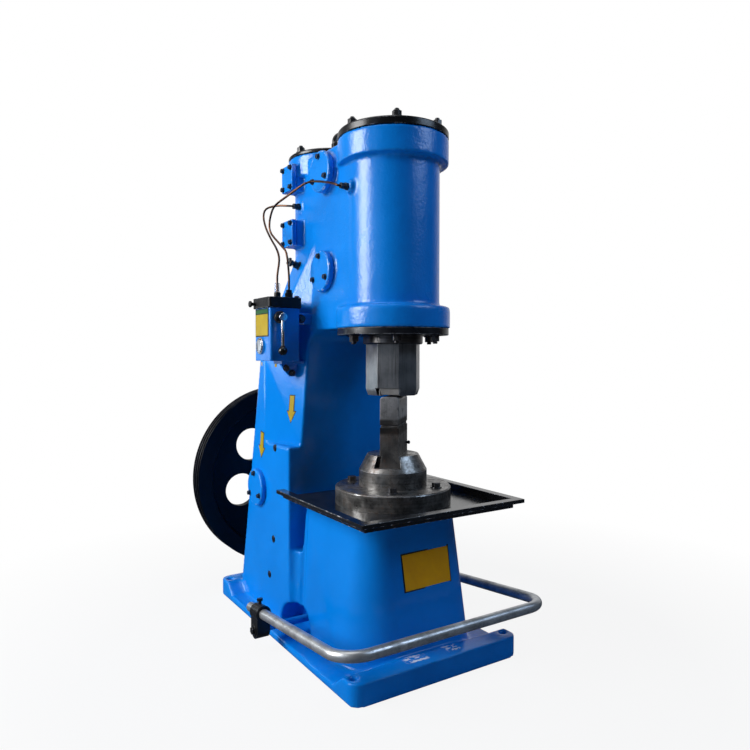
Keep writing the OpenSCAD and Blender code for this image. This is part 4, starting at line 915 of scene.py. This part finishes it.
def mill_scale(tree):
    flakes = spread(tree, noise(tree, 30.0, 7.0, 0.7, (1.0, 0.6, 1.0)), 0.50, 0.66)
    return maths(tree, "MULTIPLY", flakes, 0.55)


pipe_steel = bare_metal("pipe_steel", (0.50, 0.515, 0.535), (0.66, 0.675, 0.69), (0.28, 0.42),
                        rust=0.12, bright=0.6, shine=0.8, soot=[(mill_scale, (0.16, 0.165, 0.175))])
skinned("treadle_pipe", ["treadle_bar"], pipe_steel, "treadle", "worn_steel", 0.0006)
clamps = ["treadle_clamp_left", "treadle_clamp_right"]
skinned("treadle_clamps", clamps, black_enamel, "treadle", "black_paint", 0.0016)
skinned("treadle_axle", ["treadle_shaft"], blue_enamel, "treadle", "worn_steel", 0.0012)
end_cap = [(24, 0.0145, 0.0, 0.0035, 0.0010), (6, 0.0095, 0.0035, 0.0085, 0.0010)]
_, axle, axle_high = node_box("treadle_shaft")
bm = bmesh.new()
for side in (-1, 1):
    turned(bm, (side * (axle_high.x - 0.001), axle.y, axle.z), (side, 0, 0), end_cap)
smooth_shade(bm)
mesh_piece("axle_ends", bm, black_enamel, "treadle", "black_paint")

# Plates and marks: two plain arrows on the column and blank plates on the pump and the
# pedestal, thin yellow and green sheets with black borders, laid on the paint.


def flat_colour(name, tone, faded, rough):
    made, tree, bsdf = new_material(name)
    age = spread(tree, noise(tree, 40.0, 6.0, 0.65), 0.35, 0.7)
    wire(tree, blend_colour(tree, age, tone, faded), bsdf.inputs["Base Color"])
    bsdf.inputs["Roughness"].default_value = rough
    bsdf.inputs["Specular IOR Level"].default_value = 0.2
    return made


# thin sheet on the casting: its corners are dropped on the paint along a way
def decal(bm, outline, way, lift, sink=0.0006):
    way = Vector(way)
    hits = [casting_tree.ray_cast(Vector(spot) - 0.06 * way, way)[0] for spot in outline]
    prism(bm, [hit - lift * way for hit in hits], (lift + sink) * way)


def arrow(top, tip, across, half, head, grow=0.0):
    top, tip, across = Vector(top), Vector(tip), Vector(across).normalized()
    way = (tip - top).normalized()
    tail = top - grow * way
    neck = tip - (0.40 * (tip - top).length + grow) * way
    shaft, barb = (half + grow) * across, (head + 1.6 * grow) * across
    point = tip + 1.8 * grow * way
    return [tail + shaft, neck + shaft, neck + barb, point, neck - barb, neck - shaft, tail - shaft]


plate_yellow = flat_colour("plate_yellow", (0.46, 0.33, 0.008), (0.38, 0.26, 0.009), 0.35)
plate_amber = flat_colour("plate_amber", (0.98, 0.44, 0.006), (0.90, 0.37, 0.008), 0.35)
plate_black = flat_colour("plate_black", (0.010, 0.011, 0.012), (0.020, 0.021, 0.022), 0.4)
plate_green = flat_colour("plate_green", (0.012, 0.085, 0.022), (0.020, 0.11, 0.030), 0.35)
inwards, backwards = (1, 0, 0), (0, 1, 0)
arrows = [((-0.1514, 0.2361, 0.6020), (-0.1566, 0.2358, 0.5345), (0.30, -0.95, 0.0), 0.0075, 0.0135),
          ((-0.1825, 0.3584, 0.4971), (-0.1825, 0.3675, 0.4304), (0.0, -0.99, -0.13), 0.0095, 0.0190)]
strip = [(-0.1825, 0.362, 0.6875), (-0.1675, 0.297, 0.6835),
         (-0.1675, 0.297, 0.6745), (-0.1825, 0.362, 0.6775)]
label = [(-0.0540, -0.109, 0.2632), (0.0818, -0.109, 0.2656),
         (0.0845, -0.120, 0.1801), (-0.0497, -0.120, 0.1785)]
field = [(-0.0505, -0.109, 0.2603), (0.0785, -0.109, 0.2626),
         (0.0812, -0.120, 0.1831), (-0.0463, -0.120, 0.1815)]
bm = bmesh.new()
for shape in arrows:
    decal(bm, arrow(*shape, 0.0022), inwards, 0.0004)
decal(bm, label, backwards, 0.0006)
block(bm, (-0.2398, 0.184, 0.7515), (-0.2385, 0.264, 0.8205), 0.0003)
mesh_piece("plate_borders", bm, plate_black, "frame", "black_paint")
bm = bmesh.new()
for shape in arrows:
    decal(bm, arrow(*shape), inwards, 0.0009)
decal(bm, strip, inwards, 0.0009)
block(bm, (-0.2402, 0.187, 0.7545), (-0.2385, 0.261, 0.8065), 0.0003)
mesh_piece("yellow_plates", bm, plate_yellow, "frame", "blue_paint")
bm = bmesh.new()
decal(bm, field, backwards, 0.0011)
mesh_piece("amber_plate", bm, plate_amber, "frame", "blue_paint")
bm = bmesh.new()
block(bm, (-0.2402, 0.187, 0.8085), (-0.2385, 0.261, 0.8185), 0.0003)
mesh_piece("green_plate", bm, plate_green, "frame", "blue_paint")
